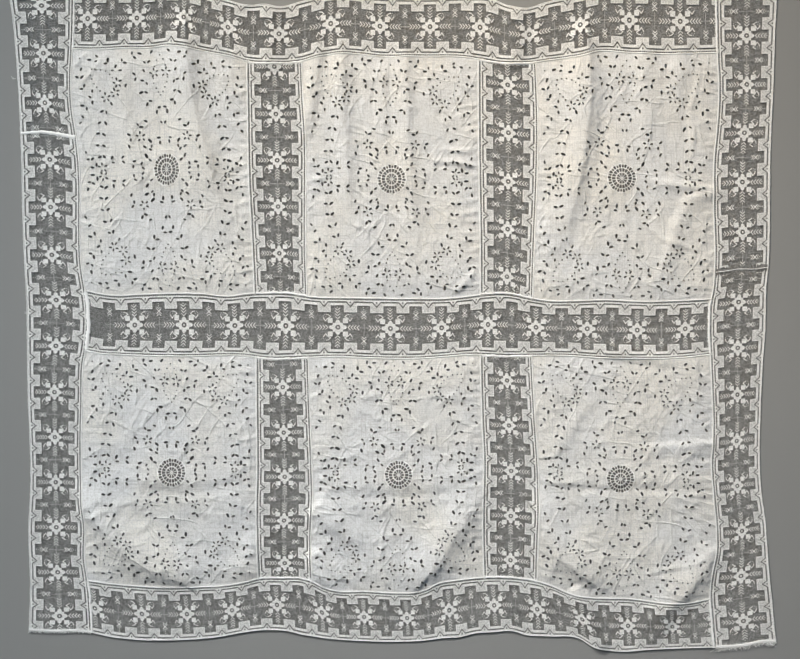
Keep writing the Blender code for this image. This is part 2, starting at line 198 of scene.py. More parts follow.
# Folds whose second flank is steepest at the crest and flattens out, in the same terms
SHARP_FOLDS = [
    (14, 90, 54, (0, 200), [
        (188, 42), (190, 75), (193, 100), (198, 120), (207, 150), (214, 181), (223, 212), (233, 245)]),
    (6.5, 44, 36, (0, 160), [(343, 48), (344, 100), (347, 150), (351, 205), (354, 240)]),
    (6.5, 50, 42, (0, 180), [(407, 50), (408, 110), (410, 150), (414, 215), (418, 260)]),
    (3, 30, 26, (30, 60), [(385, 60), (384, 120), (386, 155)]),
    (11, 78, 46, (0, 260), [
        (589, 46), (590, 100), (586, 140), (580, 175), (574, 205), (562, 240), (550, 268)]),
    (4, 20, 28, (20, 60), [(713, 191), (672, 186), (640, 181)]),
    (11, 100, 54, (80, 30), [
        (196, 588), (168, 577), (143, 565), (121, 550), (103, 531), (89, 514), (78, 496)]),
    (8, 70, 44, (80, 20), [(362, 546), (342, 535), (322, 520), (306, 508)]),
    (7, 60, 40, (60, 20), [(343, 595), (318, 577), (303, 552)]),
    (11, 84, 66, (110, 60), [
        (487, 490), (478, 504), (467, 518), (455, 537), (444, 554), (430, 573), (414, 590)]),
    (11, 90, 56, (80, 0), [(606, 587), (580, 574), (560, 558), (545, 540), (535, 518)]),
    (8, 64, 50, (30, 50), [(718, 545), (704, 572), (686, 594), (664, 614), (645, 634)]),
]

# Broad unevenness of the whole cloth: rise in mm, size of its cells in mm, and seed
BROAD = ((0.5, 130, 11), (0.3, 60, 12))
NOISE_REACH = 2200      # how far the noise's cells go across and down, and past the plan's corner, mm
NOISE_MARGIN = 60
NOISE_GAIN = 1.5        # brings gradient noise to about -1 to 1
LINEN_SEED, CREASE_SEED, PUCKER_SEED, EYELET_SEED = 100, 500, 40, 7     # first numbers of seeds
CREST_START = 1         # keeps the rise of a crest without a fade whole at its very end, mm

HALF_BAND = 28.5        # from the middle of the lace to its edge, squares
REPEAT = 51.5           # length of the lace's design, squares
BEYOND = 3              # stars that are worked out past each end of a length
MORE_REPEATS = 2        # repeats that are worked out past the first and last star

CROSSING_ROUNDS = 12    # steps that home in on where two seam lines meet
SAME_POINT = 0.0001     # points nearer than this are one
FACES_IN_LOOPS = 1      # the triangulation's own number for keeping only the faces inside a loop


# The plan


def smooth_line(points, at):
    """A cubic through the points, with each slope taken from the neighbours; flat past the ends."""
    x, y = np.array(points, float).T
    slope = np.gradient(y, x)
    at = np.clip(at, x[0], x[-1])
    k = np.clip(np.searchsorted(x, at, side="right") - 1, 0, len(x) - 2)
    step = x[k + 1] - x[k]
    u = (at - x[k]) / step
    start = (1 + 2 * u) * (1 - u) ** 2 * y[k] + u * (1 - u) ** 2 * step * slope[k]
    end = u ** 2 * (3 - 2 * u) * y[k + 1] + u ** 2 * (u - 1) * step * slope[k + 1]
    return start + end


def crossing(row, column):
    """The point where a row line meets a column line, found by going from one to the other."""
    down = smooth_line(ROW_LINES[row], ROW_LINES[row][0][0])
    for _ in range(CROSSING_ROUNDS):
        across = smooth_line(COLUMN_LINES[column], down)
        down = smooth_line(ROW_LINES[row], across)
    return np.array([across, down])


CROSSINGS = {(row, column): crossing(row, column) for row in ROW_LINES for column in COLUMN_LINES}


def cloth_points(sides, s, t):
    """Plan points at shares s across and t down a piece: its sides blended, less its corners."""
    left, right, upper, lower = sides
    corners = {(i, j): CROSSINGS[row, column]
               for i, column in enumerate((left, right)) for j, row in enumerate((upper, lower))}
    across_up = (1 - s) * corners[0, 0][0] + s * corners[1, 0][0]
    across_low = (1 - s) * corners[0, 1][0] + s * corners[1, 1][0]
    down_left = (1 - t) * corners[0, 0][1] + t * corners[0, 1][1]
    down_right = (1 - t) * corners[1, 0][1] + t * corners[1, 1][1]
    on_upper = np.stack([across_up, smooth_line(ROW_LINES[upper], across_up)], -1)
    on_lower = np.stack([across_low, smooth_line(ROW_LINES[lower], across_low)], -1)
    on_left = np.stack([smooth_line(COLUMN_LINES[left], down_left), down_left], -1)
    on_right = np.stack([smooth_line(COLUMN_LINES[right], down_right), down_right], -1)
    s, t = s[..., None], t[..., None]
    flat = sum((s if i else 1 - s) * (t if j else 1 - t) * p for (i, j), p in corners.items())
    return (1 - t) * on_upper + t * on_lower + (1 - s) * on_left + s * on_right - flat


def seam_points(line, first, last, step):
    """Points along a row or column line between two lines that cross it, about a step apart."""
    if line in ROW_LINES:
        ends = CROSSINGS[line, first][0], CROSSINGS[line, last][0]
        across = np.linspace(*ends, max(2, round((ends[1] - ends[0]) / step)) + 1)
        return np.stack([across, smooth_line(ROW_LINES[line], across)], -1)
    ends = CROSSINGS[first, line][1], CROSSINGS[last, line][1]
    down = np.linspace(*ends, max(2, round((ends[1] - ends[0]) / step)) + 1)
    return np.stack([smooth_line(COLUMN_LINES[line], down), down], -1)


def square_to(path):
    """Unit vectors square to a path of plan points, on its right as one looks along it."""
    along = np.gradient(path, axis=-2)
    along = along / np.maximum(np.linalg.norm(along, axis=-1, keepdims=True), SAME_POINT)
    return np.stack([-along[..., 1], along[..., 0]], -1)


# How the cloth lies


def ridge(points, rise, first_width, second_width, crest, fade, sharp=False):
    """A soft ridge: half a cosine on either flank, by the distance to the crest over the flank's
    width. The second flank of a sharp one falls from the crest as the square of the way left to its
    foot. The rise comes in and goes out evenly over the first and last mm of the crest that fade
    gives."""
    reach = max(first_width, second_width)
    near = np.all((points > crest.min(axis=0) - reach) & (points < crest.max(axis=0) + reach), axis=1)
    close = points[near]
    lengths = np.linalg.norm(np.diff(crest, axis=0), axis=1)
    ends = np.cumsum(lengths)
    best = np.zeros(len(close))
    for start, end, length, past in zip(crest, crest[1:], lengths, ends):
        along = end - start
        away = close - start
        share = np.clip(away @ along / length ** 2, 0, 1)
        side = along[0] * away[:, 1] - along[1] * away[:, 0]
        width = np.where(side > 0, first_width, second_width)
        gap = np.linalg.norm(away - share[:, None] * along, axis=1) / width
        place = past - (1 - share) * length
        rising = (place + CREST_START) / (fade[0] + CREST_START)
        falling = (ends[-1] - place + CREST_START) / (fade[1] + CREST_START)
        form = (1 + np.cos(np.pi * np.clip(gap, 0, 1))) / 2
        if sharp:
            form = np.where(side > 0, form, np.clip(1 - gap, 0, 1) ** 2)
        best = np.maximum(best, np.minimum(np.minimum(rising, falling), 1) * form)
    height = np.zeros(len(points))
    height[near] = rise * best
    return height


def highest(points, folds, scale=1, sharp=False):
    """The height of the highest of several ridges, from rows of rise, two widths, fade and crest."""
    height = np.zeros(len(points))
    for rise, first_width, second_width, fade, crest in folds:
        crest = np.array(crest, float) * scale
        height = np.maximum(height, ridge(points, rise, first_width, second_width, crest, fade, sharp))
    return height


def crumple(points, cell, seed):
    """Gradient noise from -1 to 1: slopes drawn at the corners of square cells, blended smoothly."""
    rng = np.random.default_rng(seed)
    count = int(NOISE_REACH / cell) + 3
    turn = rng.uniform(0, 2 * np.pi, (count, count))
    place = (points + NOISE_MARGIN) / cell
    corner = np.floor(place).astype(int)
    part = place - corner
    fade = part ** 3 * (part * (part * 6 - 15) + 10)
    total = np.zeros(len(points))
    for i in (0, 1):
        for j in (0, 1):
            angle = turn[corner[:, 0] + i, corner[:, 1] + j]
            value = np.cos(angle) * (part[:, 0] - i) + np.sin(angle) * (part[:, 1] - j)
            share = (fade[:, 0] if i else 1 - fade[:, 0]) * (fade[:, 1] if j else 1 - fade[:, 1])
            total += share * value
    return total * NOISE_GAIN


def cloth_height(points):
    """Height of the whole cloth above the ground at plan points: the highest fold there, and a
    broad unevenness of under 2 mm."""
    height = np.maximum(highest(points, FOLDS, SQUARE), highest(points, SHARP_FOLDS, SQUARE, sharp=True))
    return height + sum(rise * (1 + crumple(points, cell, seed)) for rise, cell, seed in BROAD)


def placed(points, lift):
    """The plan's points, lifted off the cloth's lie by so many mm, in the frame's metres."""
    height = cloth_height(points) + lift
    flat = points - PLAN_MIDDLE
    return np.column_stack([flat[:, 0], -flat[:, 1], height]) * MM


# Meshes

CRISP_ANGLE = 0.7       # radians between two faces from which their edge stays sharp


def grid_triangles(grids, rows, columns):
    """Two triangles for each square of several grids, whose points are numbered row by row."""
    number = np.arange(grids * rows * columns).reshape(grids, rows, columns)
    a, b = number[:, :-1, :-1], number[:, :-1, 1:]
    d, c = number[:, 1:, :-1], number[:, 1:, 1:]
    return np.stack([a, b, c, a, c, d], -1).reshape(-1, 3)


def strips(paths, profile, rises=0.0, widths=1.0):
    """Strips that carry a profile along many paths of equally many plan points. A point of the
    profile is a distance to the path's side and a lift. At each of the path's stations, widths
    stretches the distances and rises adds to the lifts."""
    offset, lift = np.array(profile, float).T
    aside = np.reshape(widths, (-1, 1)) * offset
    points = paths[:, :, None] + square_to(paths)[:, :, None] * aside[..., None]
    lifts = np.broadcast_to(lift + np.reshape(rises, (-1, 1)), points.shape[:3])
    return points.reshape(-1, 2), lifts.ravel(), grid_triangles(*points.shape[:3])


def ring_strips(loops_in, loops_crest, loops_out, lifts):
    """Closed rings, each through an inner, a crest and an outer loop of equally many plan points."""
    points = np.stack([loops_in, loops_crest, loops_out], axis=2)
    points = np.concatenate([points, points[:, :1]], axis=1)
    lift = np.broadcast_to(lifts, points.shape[:3])
    return points.reshape(-1, 2), lift.ravel(), grid_triangles(*points.shape[:3])


def joined(parts):
    """Several meshes as one: their points, lifts and triangles, and further numbers for each point."""
    starts = np.cumsum([0] + [len(part[0]) for part in parts])
    moved = [(*part[:2], part[2] + start, *part[3:]) for part, start in zip(parts, starts)]
    return [np.concatenate(column) for column in zip(*moved)]


def facing_up(points, triangles):
    """The triangles of an upper side, each turned so that it faces up: clockwise on the plan."""
    a, b, c = (points[triangles[:, k]] for k in range(3))
    area = (b - a)[:, 0] * (c - a)[:, 1] - (b - a)[:, 1] * (c - a)[:, 0]
    return np.where(area[:, None] > 0, triangles[:, ::-1], triangles)


def wound(loop):
    """A loop with its points counterclockwise."""
    loop = np.asarray(loop, float)
    after = np.roll(loop, -1, axis=0)
    area = (loop[:, 0] * after[:, 1] - after[:, 0] * loop[:, 1]).sum()
    return loop if area > 0 else loop[::-1]


def filled(loops, holes=(), inner=()):
    """Points and triangles over the loops' union less the holes, with extra points inside, by a
    constrained triangulation. Only triangles that lie in a loop and in no hole are kept. The
    triangulation gives its points first, its faces third, and each face's owners sixth."""
    corners, faces = [], []
    for loop in [*loops, *holes]:
        faces.append(list(range(len(corners), len(corners) + len(loop))))
        corners.extend(Vector(point) for point in wound(loop))
    corners.extend(Vector(point) for point in inner)
    found = delaunay_2d_cdt(corners, [], faces, FACES_IN_LOOPS, SAME_POINT)
    kept = [face for face, owners in zip(found[2], found[5]) if owners and max(owners) < len(loops)]
    used, triangles = np.unique(np.array(kept), return_inverse=True)
    points = np.array([tuple(point) for point in found[0]])
    return points[used], triangles.reshape(-1, 3)


def new_piece(name, points, triangles, material, tone=None, crisp=False):
    """A smooth-shaded object at the origin from whole arrays of points and triangles, with a number
    for each point that the material reads as tone. A crisp piece keeps the edges of its figures
    sharp. It rides on the cloth's only body."""
    mesh = bpy.data.meshes.new(name)
    mesh.vertices.add(len(points))
    mesh.vertices.foreach_set("co", points.astype(np.float32).ravel())
    mesh.loops.add(triangles.size)
    mesh.loops.foreach_set("vertex_index", triangles.astype(np.int32).ravel())
    mesh.polygons.add(len(triangles))
    mesh.polygons.foreach_set("loop_start", np.arange(0, triangles.size, 3, dtype=np.int32))
    mesh.update(calc_edges=True)
    mesh.shade_smooth()
    if crisp:
        mesh.set_sharp_from_angle(angle=CRISP_ANGLE)
    mesh.materials.append(material)
    if tone is not None:
        mesh.attributes.new("tone", "FLOAT", "POINT").data.foreach_set("value", tone.astype(np.float32))
    piece = bpy.data.objects.new(name, mesh)
    bpy.context.scene.collection.objects.link(piece)
    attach(piece, "root")
    return piece


# The linen panels

LINEN_LIFT = 1.5        # the linen's height above the cloth's lie, mm
HEM_SETBACK = 1.0       # from the seam's line to the linen's edge, mm
GRID_STEP = 4.8         # between the linen's points, mm
GRID_SETBACK = 0.6      # from the linen's edge to the first of them, in steps
RIM_STEP = 6.0
CLEAR_OF_EYELET = 1.3   # from an eyelet's edge to the nearest point of the linen's grid, mm
NEAR_EYELET = 3         # how far past an eyelet's end such points are looked for, mm
HALF_WIDTH = 89.5       # half sizes of a panel's chart, squares
HALF_HEIGHT = 118.5

# Where each panel's medallion lies, its middle (across, down) in squares, and its stretch
MEDALLIONS = {
    "panel_upper_left": ((167.2, 169.8), (0.88, 1.12)),
    "panel_upper_middle": ((391.6, 179.4), (1.0, 1.03)),
    "panel_upper_right": ((621.4, 178.6), (1.0, 1.0)),
    "panel_lower_left": ((172.3, 472.2), (0.97, 1.0)),
    "panel_lower_middle": ((398.6, 474.6), (0.97, 1.0)),
    "panel_lower_right": ((619.9, 478.6), (0.97, 0.97)),
}

# Leaf eyelets of a quarter of a panel: across and down from its middle in squares, turn in degrees
# from outwards towards downwards, and length in squares
LEAVES = [
    (16.5, 9.5, 40, 3), (20.5, 14, 60, 4.5), (15.5, 20, 40, 3), (14, 23, 100, 2.5),
    (21, 22.5, 35, 3.8), (15, 28, 50, 4.5), (37, 23, 65, 3.5), (34, 29.5, 90, 2.5),
    (36, 34, 35, 3), (22.5, 42, -10, 3.8), (26, 44, 60, 3), (17.5, 47, 20, 3),
    (4.5, 26.5, 90, 3.5), (6, 30.5, -15, 3), (1.7, 45, 60, 2), (5.2, 55, 90, 3.5),
    (3, 59.5, -10, 3), (14, 63, 100, 3.8), (10.5, 66, 10, 3.5), (15, 74.5, 25, 3),
    (19.5, 73.7, -35, 3.5), (14, 83, 65, 3), (18, 85.5, 10, 3), (24.5, 87, 95, 3.5),
    (26, 92, 35, 3), (16.5, 95, 60, 2.8), (11.5, 103.5, -45, 2.8), (15.5, 103, 45, 2.5),
    (25.5, 108, 35, 3), (20.5, 112, 8, 3.8), (28, 112.5, 90, 2.8), (9, 113, -50, 3.2),
    (49.5, 64.5, 65, 3.5), (55, 56.5, 80, 3), (59.3, 58, -20, 3), (57.5, 46, 60, 4),
    (63.5, 47.5, -25, 3), (60.5, 35.5, 40, 3.5), (66, 36.5, -15, 3), (61.8, 25, 35, 4),
    (67.5, 25.5, -12, 3.3), (62.5, 14.8, 45, 3.5), (67, 14.5, -25, 3.8), (70.8, 6.5, 90, 4),
    (75.3, 3.8, 8, 3.8), (75, 12, -40, 3.5), (79, 11, 5, 2.5), (80.5, 18, 75, 3),
    (44.2, 8.8, 45, 3), (44.2, 13.5, -50, 3), (54, 8.8, 10, 3), (55, 13.5, 110, 3.5),
    (34, 4, 90, 3), (32.3, 8.5, -15, 3), (24, 2.5, 50, 2.5), (25.3, 7, -70, 2.2),
    (78.5, 52, 45, 3), (82, 45.5, -50, 2.5), (74, 60, 90, 3.5), (78, 63, -5, 3),
    (67.5, 66, 90, 3), (70, 71.5, 35, 3), (67.5, 76.5, 90, 2.5), (78, 79, -5, 2.5),
    (75, 82, 105, 3.5), (77.5, 90.5, -50, 3.2), (82, 89.5, 25, 3), (78.5, 98, -65, 3.5),
    (71, 107, -15, 3.5), (64, 106, -25, 2.8), (63.5, 110.5, 35, 2.8), (54.5, 103, -5, 3),
    (52, 107, 90, 3.5), (44, 99.5, 100, 3), (39.5, 95.5, 0, 3.8), (47.5, 96, 0, 2),
    (34.5, 102.7, 10, 3.5), (38, 106, 90, 3), (34, 81.5, 95, 3.5),
]

# Middles of a quarter's five-petal flowers, and its round eyelets, in squares
FLOWERS = [(24, 32.5), (6, 92.5), (54.5, 71), (45.2, 75), (42.5, 84), (64.8, 4)]
ROUND_EYELETS = [
    (0, 71), (2.5, 74.3), (5, 78), (6.8, 82.5), (7.3, 87.5), (5.5, 99), (3.6, 104.8), (0, 109.5),
    (47, 89.5), (50, 92.5), (54, 95.5), (59, 97.5), (64, 97.8), (68, 97.4), (69, 92.5),
    (67.5, 88.5), (65.5, 84), (63, 80.5), (60, 77), (80, 108)]
LEAF_LENGTH = (0.7, 1.95)       # share of a leaf's charted length, and what comes on top, squares
LEAF_WIDTH = (0.22, 1.6)
PETALS = 5
PETAL_TURN = 10         # turn of a flower's first petal, degrees
PETAL_REACH = 3.5       # from a flower's middle to the middle of a petal, squares
PETAL_LENGTH = 3.4
PETAL_WIDTH = 1.85
ROUND_WIDTH = 1.6       # a round eyelet's width, squares
OUT_OF_PLACE = 0.25     # how uneven the handwork is: place in squares, turn in degrees, share of size
OUT_OF_TURN = 6
OUT_OF_SIZE = 0.07

# A leaf's outline for a half length and a half width of 1
LEAF_OUTLINE = np.array([
    (1, 0), (0.72, 0.72), (0, 1), (-0.72, 0.72), (-1, 0), (-0.72, -0.72), (0, -1), (0.72, -0.72)])
LEAF_POINT = 1.25       # how much further an outline round a leaf goes at its points than at its sides
STITCH_RINGS = (-0.15, 0.4, 1.15)       # how far outside an eyelet its stitched rim starts, is highest
STITCH_LIFTS = (-1.2, 0.6, 0.05)        # and ends, and its lifts there, mm
HEM_TONE = 0.6          # how far a hem's colour is between plain thread and the eyelets' rims
FULL_RIM = 2.4          # half the width of an eyelet from which its rim has its full width, mm

# Puckers at a panel's left and right sides, from the least to the greatest, in mm
PUCKER_MARGINS = (20, 15)       # from the upper and the lower seam line to the first and the last
PUCKER_GAP = (15, 27)
PUCKER_TRIES = 60               # more than a side has room for
PUCKER_START = 5                # how far in from the seam's line they start
PUCKER_REACH = (24, 75)
PUCKER_LEAN = (0.05, 0.25)      # the mean and the spread of their lean
PUCKER_RISE = (0.7, 1.7)
PUCKER_WIDTH = (5, 8)
PUCKER_FADE = 0.8               # the share of a pucker's length over which it dies away
PUCKER_FLANKS = 1.3             # how many times as wide the second flank is as the first
RIGHT_PUCKERS = 1.3             # how many times as high they are on the right

# Short creases scattered over a panel, from the least to the greatest, in mm
SCATTERED = 110
SCATTERED_REACH = (22, 85)
SCATTERED_BEND = 0.12           # radians
SCATTERED_STEEP = (3, 6)        # widths of the steep and of the soft flank
SCATTERED_SOFT = (9, 20)
SCATTERED_RISE = (0.4, 1.3)
SCATTERED_FADE = 0.4            # the share of a crease's length over which each end dies away
UPRIGHT_LEAN = 0.45             # how far the upper panels' creases turn towards the way down, radians
LOWER_RISE = 1.25               # how many times as high the lower panels' creases are

# The linen's noise: how far in from the seams it comes in, its cells and its rises, in mm
SEAM_CALM = 2
CREASE_FADE = 16
SWELL_FADE = 50
PUCKER_EDGE = 8
SWELL_CELL = 92
FOLDED_CELL = 37
FINE_CELL = 15
UPPER_GRAIN = (1.15, 0.55)      # how closely the noise lies across and down
LOWER_GRAIN = (0.9, 1.1)
SWELL = 2.6                     # how much higher the linen lies away from its seams, and how unevenly
SWELL_NOISE = 1.3
MEDALLION_SWELL = 2.8           # how much higher it lies under its medallion, and how far out
MEDALLION_SPREAD = 55
FOLDED_RISE = 0.55
FINE_RISE = 0.45
CREASES_RISE = 1.2              # how many times as high the creases are as their rows say
CREASE_ENDS = (20, 20)

# Creases of the linen alone: height and widths in mm, then the crest in squares
CREASES = [
    (2.0, 9, 12, [(303, 181), (328, 178)]),
    (2.2, 10, 14, [(428, 160), (480, 166)]),
    (1.6, 8, 9, [(438, 149), (478, 154)]),
    (2.4, 12, 16, [(452, 296), (480, 268)]),
    (1.0, 9, 14, [(541, 484), (580, 483), (618, 488)]),
    (1.1, 9, 14, [(213, 108), (228, 122), (243, 137)]),
    (1.2, 10, 16, [(208, 138), (228, 162), (247, 192)]),
    (1.2, 9, 12, [(224, 205), (238, 222), (250, 226)]),
    (1.8, 8, 12, [(72, 72), (80, 60), (92, 50)]),
    (1.5, 8, 10, [(76, 88), (90, 76), (104, 58)]),
    (2.0, 9, 9, [(84, 452), (80, 470), (81, 500)]),
    (1.6, 8, 14, [(88, 520), (112, 508), (140, 499)]),
    (1.6, 8, 14, [(96, 531), (110, 524), (118, 506), (126, 494)]),
    (1.4, 8, 12, [(545, 205), (560, 230), (580, 262)]),
    (1.6, 8, 12, [(640, 222), (662, 240), (700, 252)]),
    (1.6, 9, 12, [(700, 70), (690, 110), (694, 150)]),
    (1.4, 8, 12, [(330, 560), (352, 585), (384, 600)]),
    (1.4, 8, 12, [(640, 575), (690, 565), (712, 555)]),
    (1.3, 8, 10, [(600, 555), (650, 560)]),
    (1.2, 7, 10, [(375, 470), (384, 520), (380, 570)]),
    (1.2, 7, 10, [(150, 380), (165, 420), (168, 450)]),
    (1.4, 8, 12, [(235, 380), (246, 420), (250, 470)]),
]


def panel_edges(name, points):
    """The distances in mm from plan points to a panel's left, right, upper and lower seam lines."""
    left, right, upper, lower = PANELS[name]
    across, down = points.T
    from_left, from_right = (across - smooth_line(COLUMN_LINES[line], down) for line in (left, right))
    from_upper, from_lower = (down - smooth_line(ROW_LINES[line], across) for line in (upper, lower))
    return from_left, -from_right, from_upper, -from_lower


def puckers(name, points):
    """The small ridges that the seams draw up, square to a panel's sides and unevenly spaced."""
    left, right, upper, lower = PANELS[name]
    rng = np.random.default_rng(len(name) + PUCKER_SEED * list(PANELS).index(name))
    folds = []
    for line, inward, tall in ((left, 1, 1.0), (right, -1, RIGHT_PUCKERS)):
        first = CROSSINGS[upper, line][1] + PUCKER_MARGINS[0]
        last = CROSSINGS[lower, line][1] - PUCKER_MARGINS[1]
        places = first + np.cumsum(rng.uniform(*PUCKER_GAP, PUCKER_TRIES))
        for down in places[places < last]:
            start = np.array([smooth_line(COLUMN_LINES[line], down) + PUCKER_START * inward, down])
            reach = rng.uniform(*PUCKER_REACH)
            end = start + reach * np.array([inward, rng.normal(*PUCKER_LEAN)])
            rise = tall * rng.uniform(*PUCKER_RISE)
            width = rng.uniform(*PUCKER_WIDTH)
            folds.append((rise, width, PUCKER_FLANKS * width, (0, PUCKER_FADE * reach), [start, end]))
    return highest(points, folds)


def scattered_creases(name, points):
    """Short sharp creases all over a panel, as washing and folding leave: seeded places, lengths and
    directions, with one steep and one soft flank each."""
    left, right, upper, lower = PANELS[name]
    low, high = CROSSINGS[upper, left], CROSSINGS[lower, right]
    rng = np.random.default_rng(CREASE_SEED + list(PANELS).index(name))
    folds = []
    for _ in range(SCATTERED):
        start = rng.uniform(low, high)
        turn = rng.uniform(0, np.pi)
        reach = rng.uniform(*SCATTERED_REACH)
        if "upper" in name:
            turn = turn + UPRIGHT_LEAN * np.sin(2 * turn)
        bend = rng.normal(0, SCATTERED_BEND)
        middle = start + reach / 2 * np.array([np.cos(turn), np.sin(turn)])
        end = middle + reach / 2 * np.array([np.cos(turn + bend), np.sin(turn + bend)])
        widths = [rng.uniform(*SCATTERED_STEEP), rng.uniform(*SCATTERED_SOFT)]
        if rng.random() < 0.5:
            widths.reverse()
        rise = rng.uniform(*SCATTERED_RISE) * (1 if "upper" in name else LOWER_RISE)
        fade = (SCATTERED_FADE * reach, SCATTERED_FADE * reach)
        folds.append((rise, *widths, fade, [start, middle, end]))
    return highest(points, folds)


def linen_points(name, points, lift):
    """Plan points placed on a panel's linen. It lies a little higher away from its seams and under
    the medallion. Its creases are gradient noise in three sizes, the middle one folded into soft
    ridges, with the puckers and the listed and scattered creases, and they die away towards
    the seams."""
    seed = LINEN_SEED + 10 * list(PANELS).index(name)
    edge = np.minimum.reduce(panel_edges(name, points))
    calm, wide = (np.clip((edge - SEAM_CALM) / reach, 0, 1) for reach in (CREASE_FADE, SWELL_FADE))
    calm, wide = calm * calm * (3 - 2 * calm), wide * wide * (3 - 2 * wide)
    away = np.linalg.norm(points - np.array(MEDALLIONS[name][0]) * SQUARE, axis=1)
    grain = UPPER_GRAIN if "upper" in name else LOWER_GRAIN
    uneven = SWELL + SWELL_NOISE * crumple(points * grain, SWELL_CELL, seed)
    swell = wide * (uneven + MEDALLION_SWELL * np.exp(-(away / MEDALLION_SPREAD) ** 2))
    folded = 1 - 2 * np.abs(crumple(points * grain, FOLDED_CELL, seed + 1))
    creases = highest(points, [(*row[:3], CREASE_ENDS, row[3]) for row in CREASES], SQUARE)
    fine = FOLDED_RISE * folded + FINE_RISE * crumple(points, FINE_CELL, seed + 2) + CREASES_RISE * creases
    fine = calm * (fine + scattered_creases(name, points))
    drawn = np.clip(edge / PUCKER_EDGE, 0, 1) * puckers(name, points)
    return placed(points, LINEN_LIFT + swell + (fine + drawn) + lift)


def charted(name, across, down):
    """Plan points of a panel's chart: its squares from the middle as shares of the panel, then a
    shift that is greatest in the middle and brings the medallion to its place."""
    s, t = 0.5 + 0.5 * across / HALF_WIDTH, 0.5 + 0.5 * down / HALF_HEIGHT
    middle = cloth_points(PANELS[name], np.array([0.5]), np.array([0.5]))[0]
    shift = np.array(MEDALLIONS[name][0]) * SQUARE - middle
    swell = 16 * s * (1 - s) * t * (1 - t)
    return cloth_points(PANELS[name], s, t) + swell[:, None] * shift


def eyelet_chart():
    """Rows of across, down, turn, length and width in squares for a quarter's eyelets."""
    rows = []
    for x, y, turn, length in LEAVES:
        rows.append((x, y, turn, *(share * length + more for share, more in (LEAF_LENGTH, LEAF_WIDTH))))
    for x, y in FLOWERS:
        for k in range(PETALS):
            turn = 360 / PETALS * k + PETAL_TURN
            away = PETAL_REACH * np.array([np.cos(np.radians(turn)), np.sin(np.radians(turn))])
            rows.append((x + away[0], y + away[1], turn, PETAL_LENGTH, PETAL_WIDTH))
    rows += [(x, y, 0, ROUND_WIDTH, ROUND_WIDTH) for x, y in ROUND_EYELETS]
    return np.array(rows)


def panel_eyelets(name):
    """Middles, directions, half lengths and half widths in mm of all a panel's eyelets: the quarter
    chart mirrored in four, each eyelet a little out of place and size as handwork is."""
    quarter = eyelet_chart()
    rng = np.random.default_rng(EYELET_SEED + list(PANELS).index(name))
    middles, ways, sizes = [], [], []
    for flip_across, flip_down in FOUR_WAYS:
        chart = quarter
        if flip_across < 0:
            chart = chart[chart[:, 0] > 0]
        across = flip_across * chart[:, 0] + rng.normal(0, OUT_OF_PLACE, len(chart))
        down = flip_down * chart[:, 1] + rng.normal(0, OUT_OF_PLACE, len(chart))
        turn = np.radians(chart[:, 2] + rng.normal(0, OUT_OF_TURN, len(chart)))
        middles.append(charted(name, across, down))
        ways.append(np.column_stack([flip_across * np.cos(turn), flip_down * np.sin(turn)]))
        sizes.append(chart[:, 3:] * SQUARE / 2 * rng.normal(1, OUT_OF_SIZE, (len(chart), 1)))
    return np.concatenate(middles), np.concatenate(ways), np.concatenate(sizes)


def leaf_loops(middles, ways, sizes, grow):
    """Leaf outlines round middles, along ways, as far outside the eyelets as grow says, in mm."""
    along = LEAF_OUTLINE[:, 0] * (sizes[:, :1] + LEAF_POINT * grow)
    aside = LEAF_OUTLINE[:, 1] * (sizes[:, 1:] + grow)
    square = np.column_stack([-ways[:, 1], ways[:, 0]])
    return middles[:, None] + along[..., None] * ways[:, None] + aside[..., None] * square[:, None]


def circle(radius, count):
    """Points evenly round a circle about the origin."""
    turn = np.linspace(0, 2 * np.pi, count, endpoint=False)
    return radius * np.stack([np.cos(turn), np.sin(turn)], -1)


def spun(points, count, start):
    """Copies of an array of points turned evenly round the origin, the first by start degrees."""
    turn = 2 * np.pi * np.arange(count) / count + np.radians(start)
    cos, sin = np.cos(turn)[:, None], np.sin(turn)[:, None]
    x, y = np.array(points, float).T
    return np.stack([cos * x - sin * y, sin * x + cos * y], -1)


# The medallion's openings, in squares from its middle: outlines of its wedges, slots and slits, and
# then their number and first turn in degrees
WEDGE = [
    (1.7, -0.3), (3.4, -0.95), (4.9, -1.4), (5.3, 0), (4.9, 1.4), (3.4, 0.95), (1.7, 0.3), (1.5, 0)]
SLOT = [
    (6.7, -0.85), (7.6, -1.1), (9.7, -1.4), (10.2, -0.8), (10.2, 0.8), (9.7, 1.4), (7.6, 1.1), (6.7, 0.85)]
LONG_SLIT = [
    (10.7, -0.5), (11.5, -0.95), (13.6, -1.2), (14.1, 0), (13.6, 1.2), (11.5, 0.95), (10.7, 0.5)]
SHORT_SLIT = [
    (10.9, -0.5), (11.6, -0.9), (12.8, -0.8), (13.3, 0), (12.8, 0.8), (11.6, 0.9), (10.9, 0.5)]
MEDALLION_OPENINGS = ((WEDGE, 10, 0), (SLOT, 18, 0), (LONG_SLIT, 14, 4), (SHORT_SLIT, 14, 16.9))
WHEEL = 14.6                            # the medallion's outer radius

# Its raised threads: the rings' radii, the number, first turn in degrees and inner and outer end of
# the ribs along its bars, and a thread's profile in mm
MEDALLION_RINGS = (0.9, 6.05, 10.3, WHEEL)
MEDALLION_RIBS = (
    (10, 18, 1.2, 5.9), (18, 10, 6.2, 10.2), (14, 10.4, 10.4, 14.3), (14, 23.3, 10.4, 14.3))
RIB = [(-0.45, -2.0), (-0.6, 0.3), (0, 0.9), (0.6, 0.3), (0.45, -2.0)]
RING_POINTS = (12, 3)                   # points round a ring: so many, and more for each square of radius


def on_medallion(name, points):
    """Plan points of places on a medallion, from squares about its middle."""
    middle, stretch = MEDALLIONS[name]
    return (np.array(middle) + points * np.array(stretch)) * SQUARE


